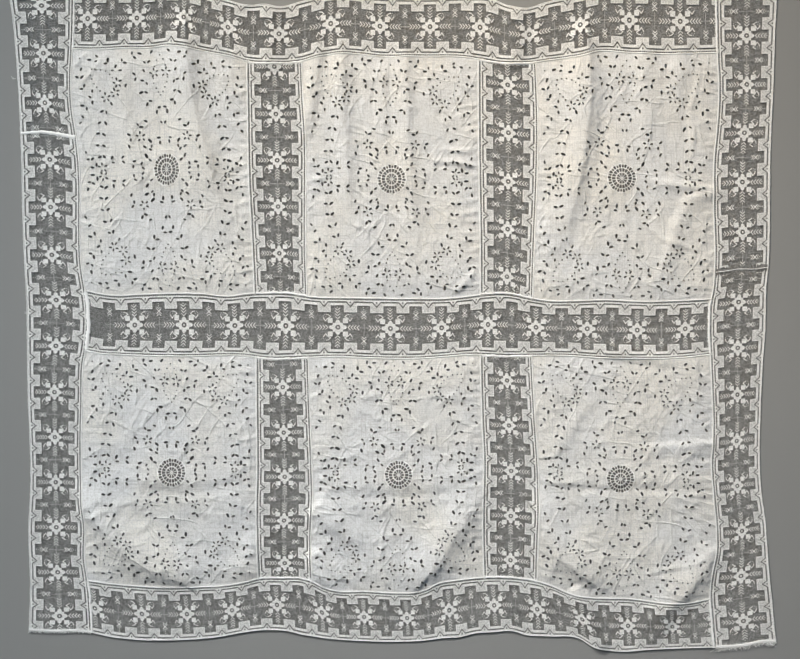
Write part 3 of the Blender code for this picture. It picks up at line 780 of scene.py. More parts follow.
def medallion_loops(name):
    """The plan outlines of a medallion's openings."""
    loops = [spun(outline, count, start) for outline, count, start in MEDALLION_OPENINGS]
    return [on_medallion(name, loop) for group in loops for loop in group]


def panel_outline(name):
    """A panel's rim, a little inside its four seam lines, as one loop."""
    left, right, upper, lower = PANELS[name]
    top = seam_points(upper, left, right, RIM_STEP)
    low = seam_points(lower, left, right, RIM_STEP)[::-1]
    rising = seam_points(left, upper, lower, RIM_STEP)[::-1]
    falling = seam_points(right, upper, lower, RIM_STEP)
    loop = np.concatenate([top[:-1], falling[:-1], low[:-1], rising[:-1]])
    around = np.roll(loop, -1, axis=0) - np.roll(loop, 1, axis=0)
    around = around / np.linalg.norm(around, axis=1, keepdims=True)
    return loop + HEM_SETBACK * np.column_stack([-around[:, 1], around[:, 0]])


def inside_points(name, eyelets):
    """The linen's own points: a square grid with every second row shifted, clear of rim and eyelets."""
    outline = panel_outline(name)
    low, high = outline.min(axis=0), outline.max(axis=0)
    across, down = np.meshgrid(*(np.arange(*ends, GRID_STEP) for ends in zip(low, high)))
    across = across + GRID_STEP / 2 * (np.arange(len(across)) % 2)[:, None]
    grid = np.column_stack([across.ravel(), down.ravel()])
    grid = grid[np.minimum.reduce(panel_edges(name, grid)) > HEM_SETBACK + GRID_SETBACK * GRID_STEP]
    middles, ways, sizes = eyelets
    clear = np.ones(len(grid), bool)
    for middle, way, size in zip(middles, ways, sizes):
        near = np.flatnonzero(np.abs(grid - middle).max(axis=1) < size[0] + NEAR_EYELET)
        away = grid[near] - middle
        along = away @ way / (size[0] + CLEAR_OF_EYELET)
        aside = away @ np.array([-way[1], way[0]]) / (size[1] + CLEAR_OF_EYELET)
        clear[near[along ** 2 + aside ** 2 < 1]] = False
    middle, stretch = MEDALLIONS[name]
    wheel = (grid / SQUARE - middle) / stretch
    return grid[clear & (np.hypot(*wheel.T) > WHEEL)]


def make_linen(name, eyelets, material):
    """A panel's sheet of linen with every eyelet and the medallion's openings cut out."""
    holes = [*leaf_loops(*eyelets, 0), *medallion_loops(name)]
    points, triangles = filled([panel_outline(name)], holes, inside_points(name, eyelets))
    piece = new_piece(name.replace("panel", "linen"), linen_points(name, points, 0.0),
                      facing_up(points, triangles), material)
    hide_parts(name)
    return piece


def stitched_rims(eyelets):
    """A raised ring of stitches round each eyelet, from just under its edge to the linen outside."""
    middles, ways, sizes = eyelets
    share = np.clip(sizes[:, 1:] / FULL_RIM, 0, 1) ** 2
    loops = [leaf_loops(middles, ways, sizes, grow * share) for grow in STITCH_RINGS]
    return ring_strips(*loops, STITCH_LIFTS)


HEM_PROFILE = [(-1.9, 0.0), (-1.3, 0.75), (0, 1.0), (1.3, 0.75), (1.9, 0.0)]
HEM_INSET = 2.9         # from the seam's line to the middle of the hem, mm


def panel_sides(name):
    """A panel's four seam lines, the two lines that each runs between, and its side that is inward."""
    left, right, upper, lower = PANELS[name]
    beside = (left, upper, lower, -1), (right, upper, lower, 1)
    return *beside, (upper, left, right, 1), (lower, left, right, -1)


def hems(name):
    """The rolled hem along each side of a panel, a low rounded strip."""
    parts = []
    for line, first, last, inward in panel_sides(name):
        path = seam_points(line, first, last, RIM_STEP)
        path = path + inward * HEM_INSET * square_to(path)
        parts.append(strips(path[None], HEM_PROFILE))
    return parts


def medallion_work(name):
    """The medallion's raised threads: rings round it and ribs along its bars."""
    parts = []
    for radius in MEDALLION_RINGS:
        count = int(RING_POINTS[0] + RING_POINTS[1] * radius)
        ring = on_medallion(name, np.concatenate([circle(radius, count), circle(radius, count)[:2]]))
        parts.append(strips(ring[None], RIB))
    for count, start, inner, outer in MEDALLION_RIBS:
        ribs = spun([(inner, 0), ((inner + outer) / 2, 0), (outer, 0)], count, start)
        parts.append(strips(on_medallion(name, ribs), RIB))
    return parts


def make_embroidery(name, eyelets, material):
    """All the stitching on a panel: the eyelets' rims, the medallion's threads and the rolled hem."""
    # Tone 1 gives the eyelets' rims the dulled thread, painted shade round the holes; the hems lie between
    # plain thread and it.
    groups = ((1.0, [stitched_rims(eyelets)]), (0.0, medallion_work(name)), (HEM_TONE, hems(name)))
    parts = [(*part, np.full(len(part[0]), share)) for share, group in groups for part in group]
    points, lifts, triangles, tone = joined(parts)
    piece = new_piece(name.replace("panel", "embroidery"), linen_points(name, points, lifts),
                      facing_up(points, triangles), material, tone)
    return piece


# The lace

NET_FOOT = 0.9          # lifts of the net's threads and of the woven figures, mm
NET_CREST = 1.15
FIGURE_FOOT = 1.0
FIGURE_CREST = 1.6
NET_HALF_WIDTH = 0.24   # half the width of a thread of the net, mm
NET_ROWS = 28           # threads along the lace on either side of its middle
# At tone 0 the net's white threads are dark grey, painted shade for the shade in the net's ground; a block's
# weave and the thin lines are mixed partly from it.
NET_TONE = 0.0          # brightness of the net's threads, a block's weave and the woven figures
BLOCK_TONE = 0.66
FIGURE_TONE = 1.0
CROSS_THREADS = 52      # threads across the net in a repeat
STATIONS = 8            # points along a thread in a repeat
CROSS_STATIONS = 9      # points along a thread that goes across
BARE_END = 8.5          # how far from the right side's join there is only net, mm
SAME_PLACE = 3          # decimals of a square to which two repeats meet

# Where a length has blank net: the kinds of figure that are left out, and in which repeats
BLANKS = {
    "lace_middle": (("star",), (-2, -1)),
    "lace_right_lower": (("flake", "line"), (7, 8, 9)),
}

HALF_REPEAT = REPEAT / 2
# One side's border in squares: along from the star, across from the lace's middle
BORDER = [
    (-HALF_REPEAT, 24.8), (-16.9, 24.8), (-12.9, 19.9), (-8.9, 24.8), (8.9, 24.8),
    (12.9, 19.9), (16.9, 24.8), (HALF_REPEAT, 24.8), (HALF_REPEAT, 22.2), (19.3, 22.2),
    (19.3, 15.3), (6.5, 15.3), (6.5, 22.2), (-6.5, 22.2), (-6.5, 15.3), (-19.3, 15.3),
    (-19.3, 22.2), (-HALF_REPEAT, 22.2)]

# The looser weave inside a block of the border: an outline and a row of points for its triangles, and
# the least and greatest place along and across, between which a point has its brightness
BLOCK_WEAVE = [
    (7.6, 16.4), (18.2, 16.4), (18.2, 23.7), (16.9, 23.7), (12.9, 18.8), (8.9, 23.7), (7.6, 23.7)]
BLOCK_ROW = [(9.6, 18.0), (12.9, 18.0), (16.2, 18.0)]
BLOCK_BOX = (7, 18.8, 16, 24.4)
LONG_SIDE = 5           # the longest side of the borders' outlines before it is divided, squares

SELVEDGE = [
    (-HALF_REPEAT, 26.3), (-16.6, 26.3), (-12.9, 21.7), (-9.2, 26.3), (9.2, 26.3),
    (12.9, 21.7), (16.6, 26.3), (HALF_REPEAT, 26.3), (HALF_REPEAT, 27.6), (-HALF_REPEAT, 27.6)]
SELVEDGE_HOLE = ((12.9, 25.3), (0.95, 8))       # its small hole: middle, radius and corners

STAR_QUARTER = [
    (0, 7.8), (1.2, 7.3), (2.3, 5.6), (2.5, 4.5), (4.4, 4.5), (5.0, 4.6), (5.0, 2.5), (5.8, 2.1),
    (7.9, 1.7), (8.9, 0)]
STAR_HOLE = (2.6, 10)                   # radius and corners of the star's hole and of the spot in it
STAR_DOT = (0.95, 8)
LEAF_BLOCK = ((7.5, 6.75), 2.5, 0.5)    # middle, half side and cut corner of the four square leaves
HOOK = [(14.3, 9.7), (12.1, 6.3), (10.4, 8.7), (9.4, 9.3), (6.9, 10.7), (9.1, 12.6), (11.4, 13.1)]
HOOK_DOTS = [(14.2, 11.4), (13.0, 12.9), (11.7, 10.9)]
CHEVRONS_ACROSS = (8.6, 11.5, 14.4, 17.3)           # places of their points
CHEVRONS_ALONG = (10.0, 12.9, 15.8, 18.7)
CHEVRON_ARM = (2.3, 2.2)                # half width and length
OUTER_DOTS = (20.2, 22)                 # across and along to the single spots past the chevrons
FLAKE_MIDDLE = 13.2                     # across to a small cross, and its arms' reach
FLAKE_ARM = 2.4
INNER_CHEVRON = (2.1, 4.3)              # from the cross's middle to the ends of its two chevrons
OUTER_CHEVRON = (1.9, 3.9)
FLAKE_DOTS = (18.2, 20.6)
THIN_LINES = ((0, 8), (5, 0))           # half of the thin line between the crosses, and between the stars
STROKE = 0.85           # widths of the woven lines, squares
CHEVRON_STROKE = 0.75
FINE_STROKE = 0.5
THIN_STROKE = 0.4
LARGE_DOT = 1.1         # radii of the woven spots, squares
DOT = 0.65
SMALL_DOT = 0.5
HOOK_DOT = 0.4
DOT_CORNERS = 6
# The thin lines are mixed half from the net's painted shade.
THIN_TONE = 0.5         # brightness of the thin lines


def stroke(start, end, width=STROKE):
    """A straight woven line as a loop of four corners."""
    start, end = np.array(start, float), np.array(end, float)
    along = (end - start) / np.linalg.norm(end - start)
    side = np.array([-along[1], along[0]]) * width / 2
    reach = along * width / 4
    return np.array([start - side - reach, end - side + reach, end + side + reach, start + side - reach])


def zigzag(points):
    """Woven lines through several points."""
    return [stroke(a, b) for a, b in zip(points, points[1:])]


def dot(place, radius=DOT):
    """A small round woven spot."""
    return np.array(place) + circle(radius, DOT_CORNERS)


def four_ways(loops):
    """Loops mirrored along and across the lace about the star's middle."""
    return [loop * np.array(flip) for loop in loops for flip in FOUR_WAYS]


def two_ways(loops, flip):
    """Loops and their mirror images."""
    return [loop * np.array(way) for loop in loops for way in ((1, 1), flip)]


def finely(loop, step):
    """A loop with its long sides divided."""
    loop = np.asarray(loop, float)
    parts = []
    for start, end in zip(loop, np.roll(loop, -1, axis=0)):
        count = max(1, int(np.ceil(np.linalg.norm(end - start) / step)))
        parts.append(start + (end - start) * (np.arange(count) / count)[:, None])
    return np.concatenate(parts)


def star_figure():
    """Loops of the star with its leaves, hooks and chevrons, in squares about its middle."""
    quarter = np.array(STAR_QUARTER)
    right = np.concatenate([quarter, (quarter * FLIP_ACROSS)[-2::-1]])
    star = np.concatenate([right, (right * FLIP_ALONG)[-2:0:-1]])
    middle, half, cut = LEAF_BLOCK
    corner = np.array([(half, half - cut), (half - cut, half)])
    leaf = [corner, (corner * FLIP_ALONG)[::-1], -corner, (corner * FLIP_ACROSS)[::-1]]
    leaf = np.concatenate(leaf) + middle
    loops = [star] + four_ways([leaf, *zigzag(HOOK), *(dot(place, HOOK_DOT) for place in HOOK_DOTS)])
    wide, long = CHEVRON_ARM
    for place in CHEVRONS_ACROSS:
        arms = [stroke((0, place), (side * wide, place + long), CHEVRON_STROKE) for side in (1, -1)]
        loops += two_ways(arms, FLIP_ACROSS)
    for place in CHEVRONS_ALONG:
        arms = [stroke((place, 0), (place + long, side * wide), CHEVRON_STROKE) for side in (1, -1)]
        loops += two_ways(arms, FLIP_ALONG)
    across, along = OUTER_DOTS
    loops += two_ways([dot((0, across))], FLIP_ACROSS)
    return loops + two_ways([dot((along, 0), SMALL_DOT)], FLIP_ALONG)


def flake_figure():
    """Loops of the two small crosses halfway to the next star, each with a chevron on its inner and
    its outer side and dots outside."""
    middle, arm = FLAKE_MIDDLE, FLAKE_ARM
    loops = [stroke((-arm, middle - way * arm), (arm, middle + way * arm), CHEVRON_STROKE) for way in (1, -1)]
    loops.append(dot((0, middle), LARGE_DOT))
    for side in (1, -1):
        wide, far = INNER_CHEVRON
        loops.append(stroke((0, middle - arm), (wide * side, middle - far), CHEVRON_STROKE))
        wide, far = OUTER_CHEVRON
        loops.append(stroke((0, middle + arm), (wide * side, middle + far), FINE_STROKE))
    loops += [dot((0, across), SMALL_DOT) for across in FLAKE_DOTS]
    return [loop + np.array([HALF_REPEAT, 0]) for loop in two_ways(loops, FLIP_ACROSS)]


def thin_lines():
    """The thin line between the two crosses, and the one from star to star."""
    return [stroke((-x, -y), (x, y), THIN_STROKE) + np.array([HALF_REPEAT, 0]) for x, y in THIN_LINES]


def slab(points, triangles, tone):
    """A figure's flat triangles made a closed slab: the same below, turned over, and a strip down
    each edge that only one triangle has, but not where the next repeat carries on."""
    count = len(points)
    edges = np.concatenate([triangles[:, [0, 1]], triangles[:, [1, 2]], triangles[:, [2, 0]]])
    key = edges.min(axis=1) * count + edges.max(axis=1)
    _, first, times = np.unique(key, return_index=True, return_counts=True)
    rim = edges[first[times == 1]]
    at_join = (np.abs(np.abs(points[rim, 0]) - HALF_REPEAT) < SAME_POINT).all(axis=1)
    a, b = rim[~at_join].T
    skirt = np.concatenate([np.stack([a, a + count, b + count], -1), np.stack([a, b + count, b], -1)])
    levels = np.repeat([FIGURE_CREST, FIGURE_FOOT], count)
    faces = np.concatenate([triangles, triangles[:, ::-1] + count, skirt])
    return np.concatenate([points, points]), levels, faces, np.concatenate([tone, tone])


def lace_figures():
    """The woven figures of one repeat: points in squares, lifts, triangles and tones, and the kind of
    figure that each triangle belongs to."""
    hole = SELVEDGE_HOLE[0] + circle(*SELVEDGE_HOLE[1])
    weave = two_ways([finely(BLOCK_WEAVE, LONG_SIDE)], FLIP_ALONG)
    groups = [
        ("star", filled(star_figure(), [circle(*STAR_HOLE)])), ("star", filled([circle(*STAR_DOT)])),
        ("flake", filled(flake_figure())), ("line", filled(thin_lines()))]
    for side in ((1, 1), FLIP_ACROSS):
        rows = two_ways([np.array(BLOCK_ROW) * side], FLIP_ALONG)
        inner = np.concatenate([loop * side for loop in weave] + rows)
        border, selvedge = (finely(np.array(loop) * side, LONG_SIDE) for loop in (BORDER, SELVEDGE))
        groups.append(("border", filled([border], (), inner)))
        groups.append(("border", filled([selvedge], two_ways([hole * side], FLIP_ALONG))))
    left, right, low, high = BLOCK_BOX
    parts = []
    for kind, (points, triangles) in groups:
        along, across = np.abs(points.T)
        woven = (along > left) & (along < right) & (across > low) & (across < high)
        tone = np.where(woven, BLOCK_TONE, THIN_TONE if kind == "line" else FIGURE_TONE)
        parts.append(slab(points, triangles, tone))
    kinds = np.concatenate([np.full(len(part[2]), kind) for part, (kind, _) in zip(parts, groups)])
    return *joined(parts), kinds


def star_places(name):
    """Squares along a length of lace and the mm on the plan that they stand for, star by star, with
    the spacing at each end carried on past it."""
    stars = np.array(LACES[name][2], float)
    before = stars[0] + (stars[1] - stars[0]) * np.arange(-BEYOND, 0)
    after = stars[-1] + (stars[-1] - stars[-2]) * np.arange(1, BEYOND + 1)
    return REPEAT * np.arange(-BEYOND, len(stars) + BEYOND), np.concatenate([before, stars, after])


def on_lace(name, along, across):
    """Plan points of a length of lace and their shares of its length, from squares along it from
    its first star and squares across it from its middle. Points past an end are brought to it."""
    sides, way, _, skew = LACES[name]
    half, whole = np.array([0.5, 0.5]), np.array([0.0, 1.0])
    if way == "down":
        ends = cloth_points(sides, half, whole)[:, 1]
    else:
        ends = cloth_points(sides, whole, half)[:, 0]
    place = np.interp(along + skew * across / (2 * HALF_BAND), *star_places(name))
    share = (place - ends[0]) / (ends[1] - ends[0])
    inside = np.clip(share, 0, 1)
    if way == "down":
        return cloth_points(sides, 0.5 + across / (2 * HALF_BAND), inside), share
    return cloth_points(sides, inside, 0.5 - across / (2 * HALF_BAND)), share


def repeats_of(name):
    """The numbers of the repeats that can reach into a length of lace."""
    return np.arange(-MORE_REPEATS, len(LACES[name][2]) + MORE_REPEATS)


def net_paths(name):
    """The net's threads as two groups of paths in squares, along the lace and across it. They run on
    under the woven figures, as lace is darned on a whole net."""
    repeats = repeats_of(name) * REPEAT
    line = np.arange(repeats[0], repeats[-1] + REPEAT, REPEAT / STATIONS)
    rows = np.arange(-NET_ROWS, NET_ROWS + 1.0)
    columns = (np.arange(CROSS_THREADS) / CROSS_THREADS * REPEAT + repeats[:, None]).ravel()
    spread = np.linspace(-HALF_BAND, HALF_BAND, CROSS_STATIONS)
    across = np.stack(np.broadcast_arrays(columns[:, None], spread), -1)
    return [np.stack(np.meshgrid(line, rows), -1), across]


def repeated(name, figures):
    """The woven figures of a length of lace: its repeats set side by side and joined where they meet,
    less those in its blank net: points on the plan, lifts, triangles, shares and tones."""
    points, lifts, triangles, tone, kinds = figures
    repeats = repeats_of(name)
    along = (points[:, 0] + REPEAT * repeats[:, None]).ravel()
    across = np.tile(points[:, 1], len(repeats))
    lifts = np.tile(lifts, len(repeats))
    left_out, where = BLANKS.get(name, ((), ()))
    kept = ~(np.isin(repeats, where)[:, None] & np.isin(kinds, left_out))
    faces = (triangles + len(points) * np.arange(len(repeats))[:, None, None])[kept]
    key = np.round(np.column_stack([along, across, lifts]), SAME_PLACE)
    _, first, number = np.unique(key, axis=0, return_index=True, return_inverse=True)
    faces = number.ravel()[faces]
    plan, share = on_lace(name, along[first], across[first])
    if name.startswith("lace_right"):
        away = np.abs(plan[:, 1] - smooth_line(ROW_LINES["right_join"], plan[:, 0]))
        faces = faces[away[faces].mean(axis=1) > BARE_END]
    return plan, lifts[first], faces, share, np.tile(tone, len(repeats))[first]


def make_lace(name, figures, material):
    """A length of lace: its net of ridged threads under its woven figures, cut off at its ends."""
    thread = [(-NET_HALF_WIDTH, NET_FOOT), (0, NET_CREST), (NET_HALF_WIDTH, NET_FOOT)]
    parts = []
    for group in net_paths(name):
        plan, share = on_lace(name, group[..., 0], group[..., 1])
        kept = ((share > 0) & (share < 1)).any(axis=1)
        share = np.repeat(share[kept].ravel(), len(thread))
        parts.append((*strips(plan[kept], thread), share, np.full(len(share), NET_TONE)))
    points, lifts, triangles, share, tone = joined([*parts, repeated(name, figures)])
    share = share[triangles].mean(axis=1)
    triangles = triangles[(share > 0) & (share < 1)]
    used, triangles = np.unique(triangles, return_inverse=True)
    piece = new_piece(name.replace("lace", "netting"), placed(points[used], lifts[used]),
                      triangles.reshape(-1, 3), material, tone[used], crisp=True)
    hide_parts(name)
    return piece


# Seams and edges

# Profiles as (aside, lift), steps along the seams and other sizes, all in mm, and the seeds' first
# numbers
CORD = [(-0.9, 0.8), (-0.7, 1.6), (0, 2.1), (0.7, 1.6), (0.9, 0.8)]
CORD_STEP = 4
CORD_INSET = 0.9        # from the edge's line to the middle of the cord, and how much that wavers
CORD_WAVER = 0.25
RAW_SEAM = [(-2.7, 0.9), (-1.9, 1.8), (0, 2.2), (1.9, 1.8), (2.7, 0.9)]
RAW_STEP = 2.4
RAW_SHIFT = 3.4         # from a seam's line to the middle of the raw strip beside it
RAW_EDGE = 2.2          # from the strip's middle to where its threads come out
RAW_WAVER = 0.4         # how much it wavers where its width is 1
RAW_SPREAD = (0.8, 1.2)         # the least and the greatest share of its width
RAW_FRAY = 4.5          # its longest thread end
FRAY = [(-0.3, -0.1), (0, 0.25), (0.3, -0.1)]
FRAY_STEP = 1.3         # between the thread ends that stick out of a raw edge
FRAY_RISE = [1.5, 1.9, 1.3]
FRAY_SHORTEST = 0.2     # the root of the shortest thread end's share of the longest
FRAY_LEAN = 0.7         # how far thread ends lean to either way, as a share of their reach
FUZZ = 1.8              # the longest of the short fibres along the two free sides
FUZZ_STEP = 1.9
LOOSE_RISE = 0.8        # lift of the loose threads
STITCH = [(-0.24, -0.1), (0, 0.25), (0.24, -0.1)]
STITCH_STEP = 4.4       # between the stitches that join linen to lace
STITCH_HALF = 2.2       # half a stitch across the seam, and along it
STITCH_SLANT = 0.5
STITCH_RISE = [1.7, 2.1, 2.3]
RAW_SEED, SPREAD_SEED, FUZZ_SEED, FRAY_SEED, END_SEED = 50, 90, 110, 130, 170
HAND_SMOOTHING = [0.2, 0.4, 0.4, 0.4, 0.2]      # how far neighbouring points waver together

# Free edges: the line, the lines that it runs between, and the way inward
EDGES = [
    ("top_edge", "left_edge", "right_edge", 1), ("bottom_edge", "left_edge", "right_edge", -1),
    ("left_edge", "top_edge", "bottom_edge", -1), ("right_edge", "top_edge", "bottom_edge", 1)]

# The lines that the four uprights end at, with the side of each on which they lie (1 is below a row
# line and left of a column line), and the lines beside them
UPRIGHT_ENDS = (("top_seam", 1), ("middle_upper", -1), ("middle_lower", 1), ("bottom_seam", -1))
UPRIGHT_SIDES = (("upright_1", "upright_2"), ("upright_3", "upright_4"))

# Seams between two lengths of lace: the line, the lines that it runs between, the side on which the
# cut length lies, or 0, and the strip's width at each end as a share of its profile's
RAW_SEAMS = [
    ("left_join", "left_edge", "left_seam", 0, 1.2, 1.9),
    ("right_join", "right_seam", "right_edge", 0, 0.3, 0.3),
    ("left_seam", "top_edge", "top_seam", -1, 0.8, 0.8),
    ("right_seam", "top_edge", "top_seam", 1, 1, 1),
    ("left_seam", "middle_upper", "middle_lower", -1, 1.7, 1.7),
    ("right_seam", "middle_upper", "middle_lower", 1, 1.1, 1.1),
    ("left_seam", "bottom_seam", "bottom_edge", -1, 1, 1),
    ("right_seam", "bottom_seam", "bottom_edge", 1, 1, 1),
    *((line, *sides, side, 1, 1) for line, side in UPRIGHT_ENDS for sides in UPRIGHT_SIDES),
    ("bottom_edge", "left_edge", "left_seam", -1, 1, 0.8),
    ("bottom_edge", "right_seam", "right_edge", -1, 1, 1),
]

# The frayed ends of the two side bands, and how far their threads stick out, mm
FRAYED_ENDS = [
    ("bottom_edge", "left_edge", "left_seam", 5),
    ("bottom_edge", "right_seam", "right_edge", 11),
]

# Loose threads at the free edges: points (across, down) in squares
LOOSE_THREADS = [
    [(16.2, 78.6), (14.6, 78.9), (12.9, 77.9), (11.2, 76.3)],
    [(14.6, 78.9), (13.2, 79.1), (12.4, 78.4)],
    [(27.2, 313.2), (26.2, 312.6), (25.2, 311.9), (24.4, 312.2)],
    [(26.6, 314.2), (25.7, 313.6), (24.9, 313.3)],
    [(761.6, 507.2), (763.0, 508.3), (764.2, 509.8)],
    [(761.9, 508.4), (763.8, 507.6), (764.4, 506.8)],
    [(774.2, 639.2), (775.2, 641.2), (776.6, 643.4)],
]


def wavering(path, amount, seed):
    """A path with each point moved to its side by a smooth random amount, as a hand-sewn seam is."""
    steps = np.random.default_rng(seed).normal(0, 1, len(path) + 4)
    smooth = np.convolve(steps, HAND_SMOOTHING, "valid")
    return path + amount * smooth[:, None] * square_to(path)


def frayed(path, side, longest, seed):
    """Thread ends that stick out of a path to one side: narrow strips of random length, each of which
    leans along the path by a share that grows with the square of the way out."""
    rng = np.random.default_rng(seed)
    out = square_to(path) * side
    along = np.column_stack([out[:, 1], -out[:, 0]])
    reach = longest * rng.uniform(FRAY_SHORTEST, 1, len(path)) ** 2
    lean = rng.normal(0, FRAY_LEAN, len(path)) * reach
    share = np.array([0, 0.5, 1])[:, None]
    paths = path[:, None] + reach[:, None, None] * share * out[:, None]
    return strips(paths + lean[:, None, None] * share ** 2 * along[:, None], FRAY, FRAY_RISE)


def sewn(name, parts, material):
    """A piece of strips of thread, laid on the cloth."""
    points, lifts, triangles = joined(parts)
    return new_piece(name, placed(points, lifts), facing_up(points, triangles), material)


def make_seams(material):
    """The cords on the free edges, the raw strips where two lengths of lace meet, the frayed ends and
    the loose threads."""
    parts = []
    for number, (line, first, last, inward) in enumerate(EDGES):
        path = seam_points(line, first, last, CORD_STEP)
        path = wavering(path + CORD_INSET * inward * square_to(path), CORD_WAVER, number)
        parts.append(strips(path[None], CORD))
        if line in COLUMN_LINES:
            edge = seam_points(line, first, last, FUZZ_STEP)
            parts.append(frayed(edge, -inward, FUZZ, FUZZ_SEED + number))
    for number, (line, first, last, side, start, end) in enumerate(RAW_SEAMS):
        path = seam_points(line, first, last, RAW_STEP)
        path = wavering(path + RAW_SHIFT * side * square_to(path), RAW_WAVER * start, RAW_SEED + number)
        spread = np.random.default_rng(SPREAD_SEED + number).uniform(*RAW_SPREAD, len(path))
        parts.append(strips(path[None], RAW_SEAM, 0.0, np.linspace(start, end, len(path)) * spread))
        if side:
            edge = seam_points(line, first, last, FRAY_STEP)
            edge = edge + (RAW_SHIFT + RAW_EDGE) * side * square_to(edge)
            parts.append(frayed(edge, side, RAW_FRAY, FRAY_SEED + number))
    for number, (line, first, last, longest) in enumerate(FRAYED_ENDS):
        edge = seam_points(line, first, last, FRAY_STEP)
        for turn in (0, 1):
            parts.append(frayed(edge, 1, longest, END_SEED + 2 * number + turn))
    for thread in LOOSE_THREADS:
        parts.append(strips(np.array([thread]) * SQUARE, FRAY, LOOSE_RISE))
    sewn("seams", parts, material)


def make_stitches(material):
    """The slanted stitches that join every panel's hem to the lace round it."""
    parts = []
    ways = np.array([-1, 0, 1])[:, None]
    for name in PANELS:
        for line, first, last, _ in panel_sides(name):
            path = seam_points(line, first, last, STITCH_STEP)
            side = square_to(path)
            along = np.column_stack([side[:, 1], -side[:, 0]])
            paths = path[:, None] + STITCH_HALF * ways * side[:, None] + STITCH_SLANT * ways * along[:, None]
            parts.append(strips(paths, STITCH, STITCH_RISE))
    sewn("seam_stitches", parts, material)


# Finishes

# Colours. Where there are two, patches of noise go from the first to the second.
COOL_LINEN = (0.745, 0.752, 0.755, 1)
WARM_LINEN = (0.785, 0.762, 0.71, 1)
SLUB = (0.60, 0.597, 0.585, 1)
# The eyelets' rims: thread dulled to the linen's grey, painted shade in and round the holes.
RIM_SHADE_THREAD = (0.74, 0.735, 0.715, 1)
PLAIN_THREAD = ((0.90, 0.895, 0.88, 1), (0.95, 0.945, 0.93, 1))
FIGURE_WHITE = ((0.93, 0.925, 0.90, 1), (0.86, 0.855, 0.83, 1))
FIGURE_DARK = (0.74, 0.735, 0.72, 1)
# The net's threads: dark grey as painted shade for the shade in the net's ground; the real thread is white.
NET_SHADE_GREY = ((0.13, 0.129, 0.124, 1), (0.5, 0.495, 0.48, 1))
FLOOR_GREY = ((0.275, 0.275, 0.27, 1), (0.29, 0.29, 0.285, 1))

# Patches of colour: how many to the metre, in how many finer sizes as well, and the noise's range
# that they take up
TINTS = (4.5, 3.0, 0.38, 0.62)
SLUBS = (1.0, 2.0, 0.5, 0.78)
SLUB_WAYS = ((14, 420, 1), (420, 14, 1))
FIBRES = (260.0, 2.0, 0.42, 0.8)
LACE_PATCHES = (30.0, 2.0, 0.4, 0.6)
LACE_SPECKLE = (330.0, 2.0, 0.38, 0.62)
FLOOR_MOTTLE = (3.0, 2.0)

# Bumps: the noise of the first two, as above, the thread spacing in metres of the two weaves, and
# then the strength and the height in metres of each
CRUMPLES = ((70.0, 4.0), (0.85, 0.0016))
TWIST = ((900.0, 2.0), (0.4, 0.0004))
LINEN_WEAVE = (0.0007, 0.25, 0.0002)
LACE_WEAVE = (0.0012, 0.35, 0.0003)
WAVE_LENGTH = 0.314159              # the wave texture's own spacing, m
WAVE_UNEVEN = {"Distortion": 1.2, "Detail": 1.0, "Detail Scale": 0.3}
SHEEN_ROUGHNESS = 0.6

# The fine creases: the ways that they run in degrees, how closely they lie along and across that way
# to the metre, in how many finer sizes as well, how near the noise is to its mean on a crease, its
# height in metres, and their patches
CREASE_TURNS = (52, -56, 80, 14)
CREASE_STRETCH = (4.5, 15, 1)
CREASE_SIZES = 2.5
CREASE_BAND = 0.035
CREASE_HEIGHT = 0.0007
CREASE_PATCHES = (9.0, 1.0, 0.4, 0.62)
CREASE_PLACE = 0.3                  # where the noise of the first of them is read, so that all differ


def new_material(name, roughness, specular, sheen):
    """A cloth finish with its even values on the shader's own sockets; returns it and its nodes."""
    material = bpy.data.materials.new(name)
    material.use_nodes = True
    tree = material.node_tree
    shader = tree.nodes["Principled BSDF"]
    shader.inputs["Roughness"].default_value = roughness
    shader.inputs["Specular IOR Level"].default_value = specular
    shader.inputs["Sheen Weight"].default_value = sheen
    shader.inputs["Sheen Roughness"].default_value = SHEEN_ROUGHNESS
    return material, tree, shader


def add_node(tree, kind, inputs=(), **settings):
    """A node with its settings and its inputs, which are values or the sockets that feed them."""
    node = tree.nodes.new(kind)
    for key, value in settings.items():
        setattr(node, key, value)
    for key, value in dict(inputs).items():
        if isinstance(value, bpy.types.NodeSocket):
            tree.links.new(value, node.inputs[key])
        else:
            node.inputs[key].default_value = value
    return node


def mapped(tree, **changes):
    """The object's own coordinates, moved, turned or stretched."""
    place = add_node(tree, "ShaderNodeTexCoord").outputs["Object"]
    return add_node(tree, "ShaderNodeMapping", {"Vector": place, **changes}).outputs["Vector"]


def noise(tree, place, scale, detail):
    """Smooth noise about 0.5, at a place."""
    inputs = {"Vector": place, "Scale": scale, "Detail": detail}
    return add_node(tree, "ShaderNodeTexNoise", inputs).outputs["Fac"]


def reckoned(tree, operation, *values):
    """One step of arithmetic."""
    return add_node(tree, "ShaderNodeMath", dict(enumerate(values)), operation=operation).outputs[0]


def ramp(tree, value, low, high, start=0.0, end=1.0):
    """A number taken from the stretch low to high onto start to end, softly."""
    inputs = {"Value": value, "From Min": low, "From Max": high, "To Min": start, "To Max": end}
    return add_node(tree, "ShaderNodeMapRange", inputs, interpolation_type="SMOOTHSTEP").outputs["Result"]


def patches(tree, scale, detail, low, high, **changes):
    """A share from 0 to 1 in soft patches, by the range of noise that they take up."""
    return ramp(tree, noise(tree, mapped(tree, **changes), scale, detail), low, high)


def mixed(tree, share, first, second):
    """A colour between two, by a share. The node's seventh and eighth inputs are its colours."""
    return add_node(tree, "ShaderNodeMix", {0: share, 6: first, 7: second}, data_type="RGBA").outputs[2]


def toned(tree, first, second):
    """A colour between two, by the piece's tone."""
    tone = add_node(tree, "ShaderNodeAttribute", attribute_name="tone").outputs["Fac"]
    return mixed(tree, tone, first, second)


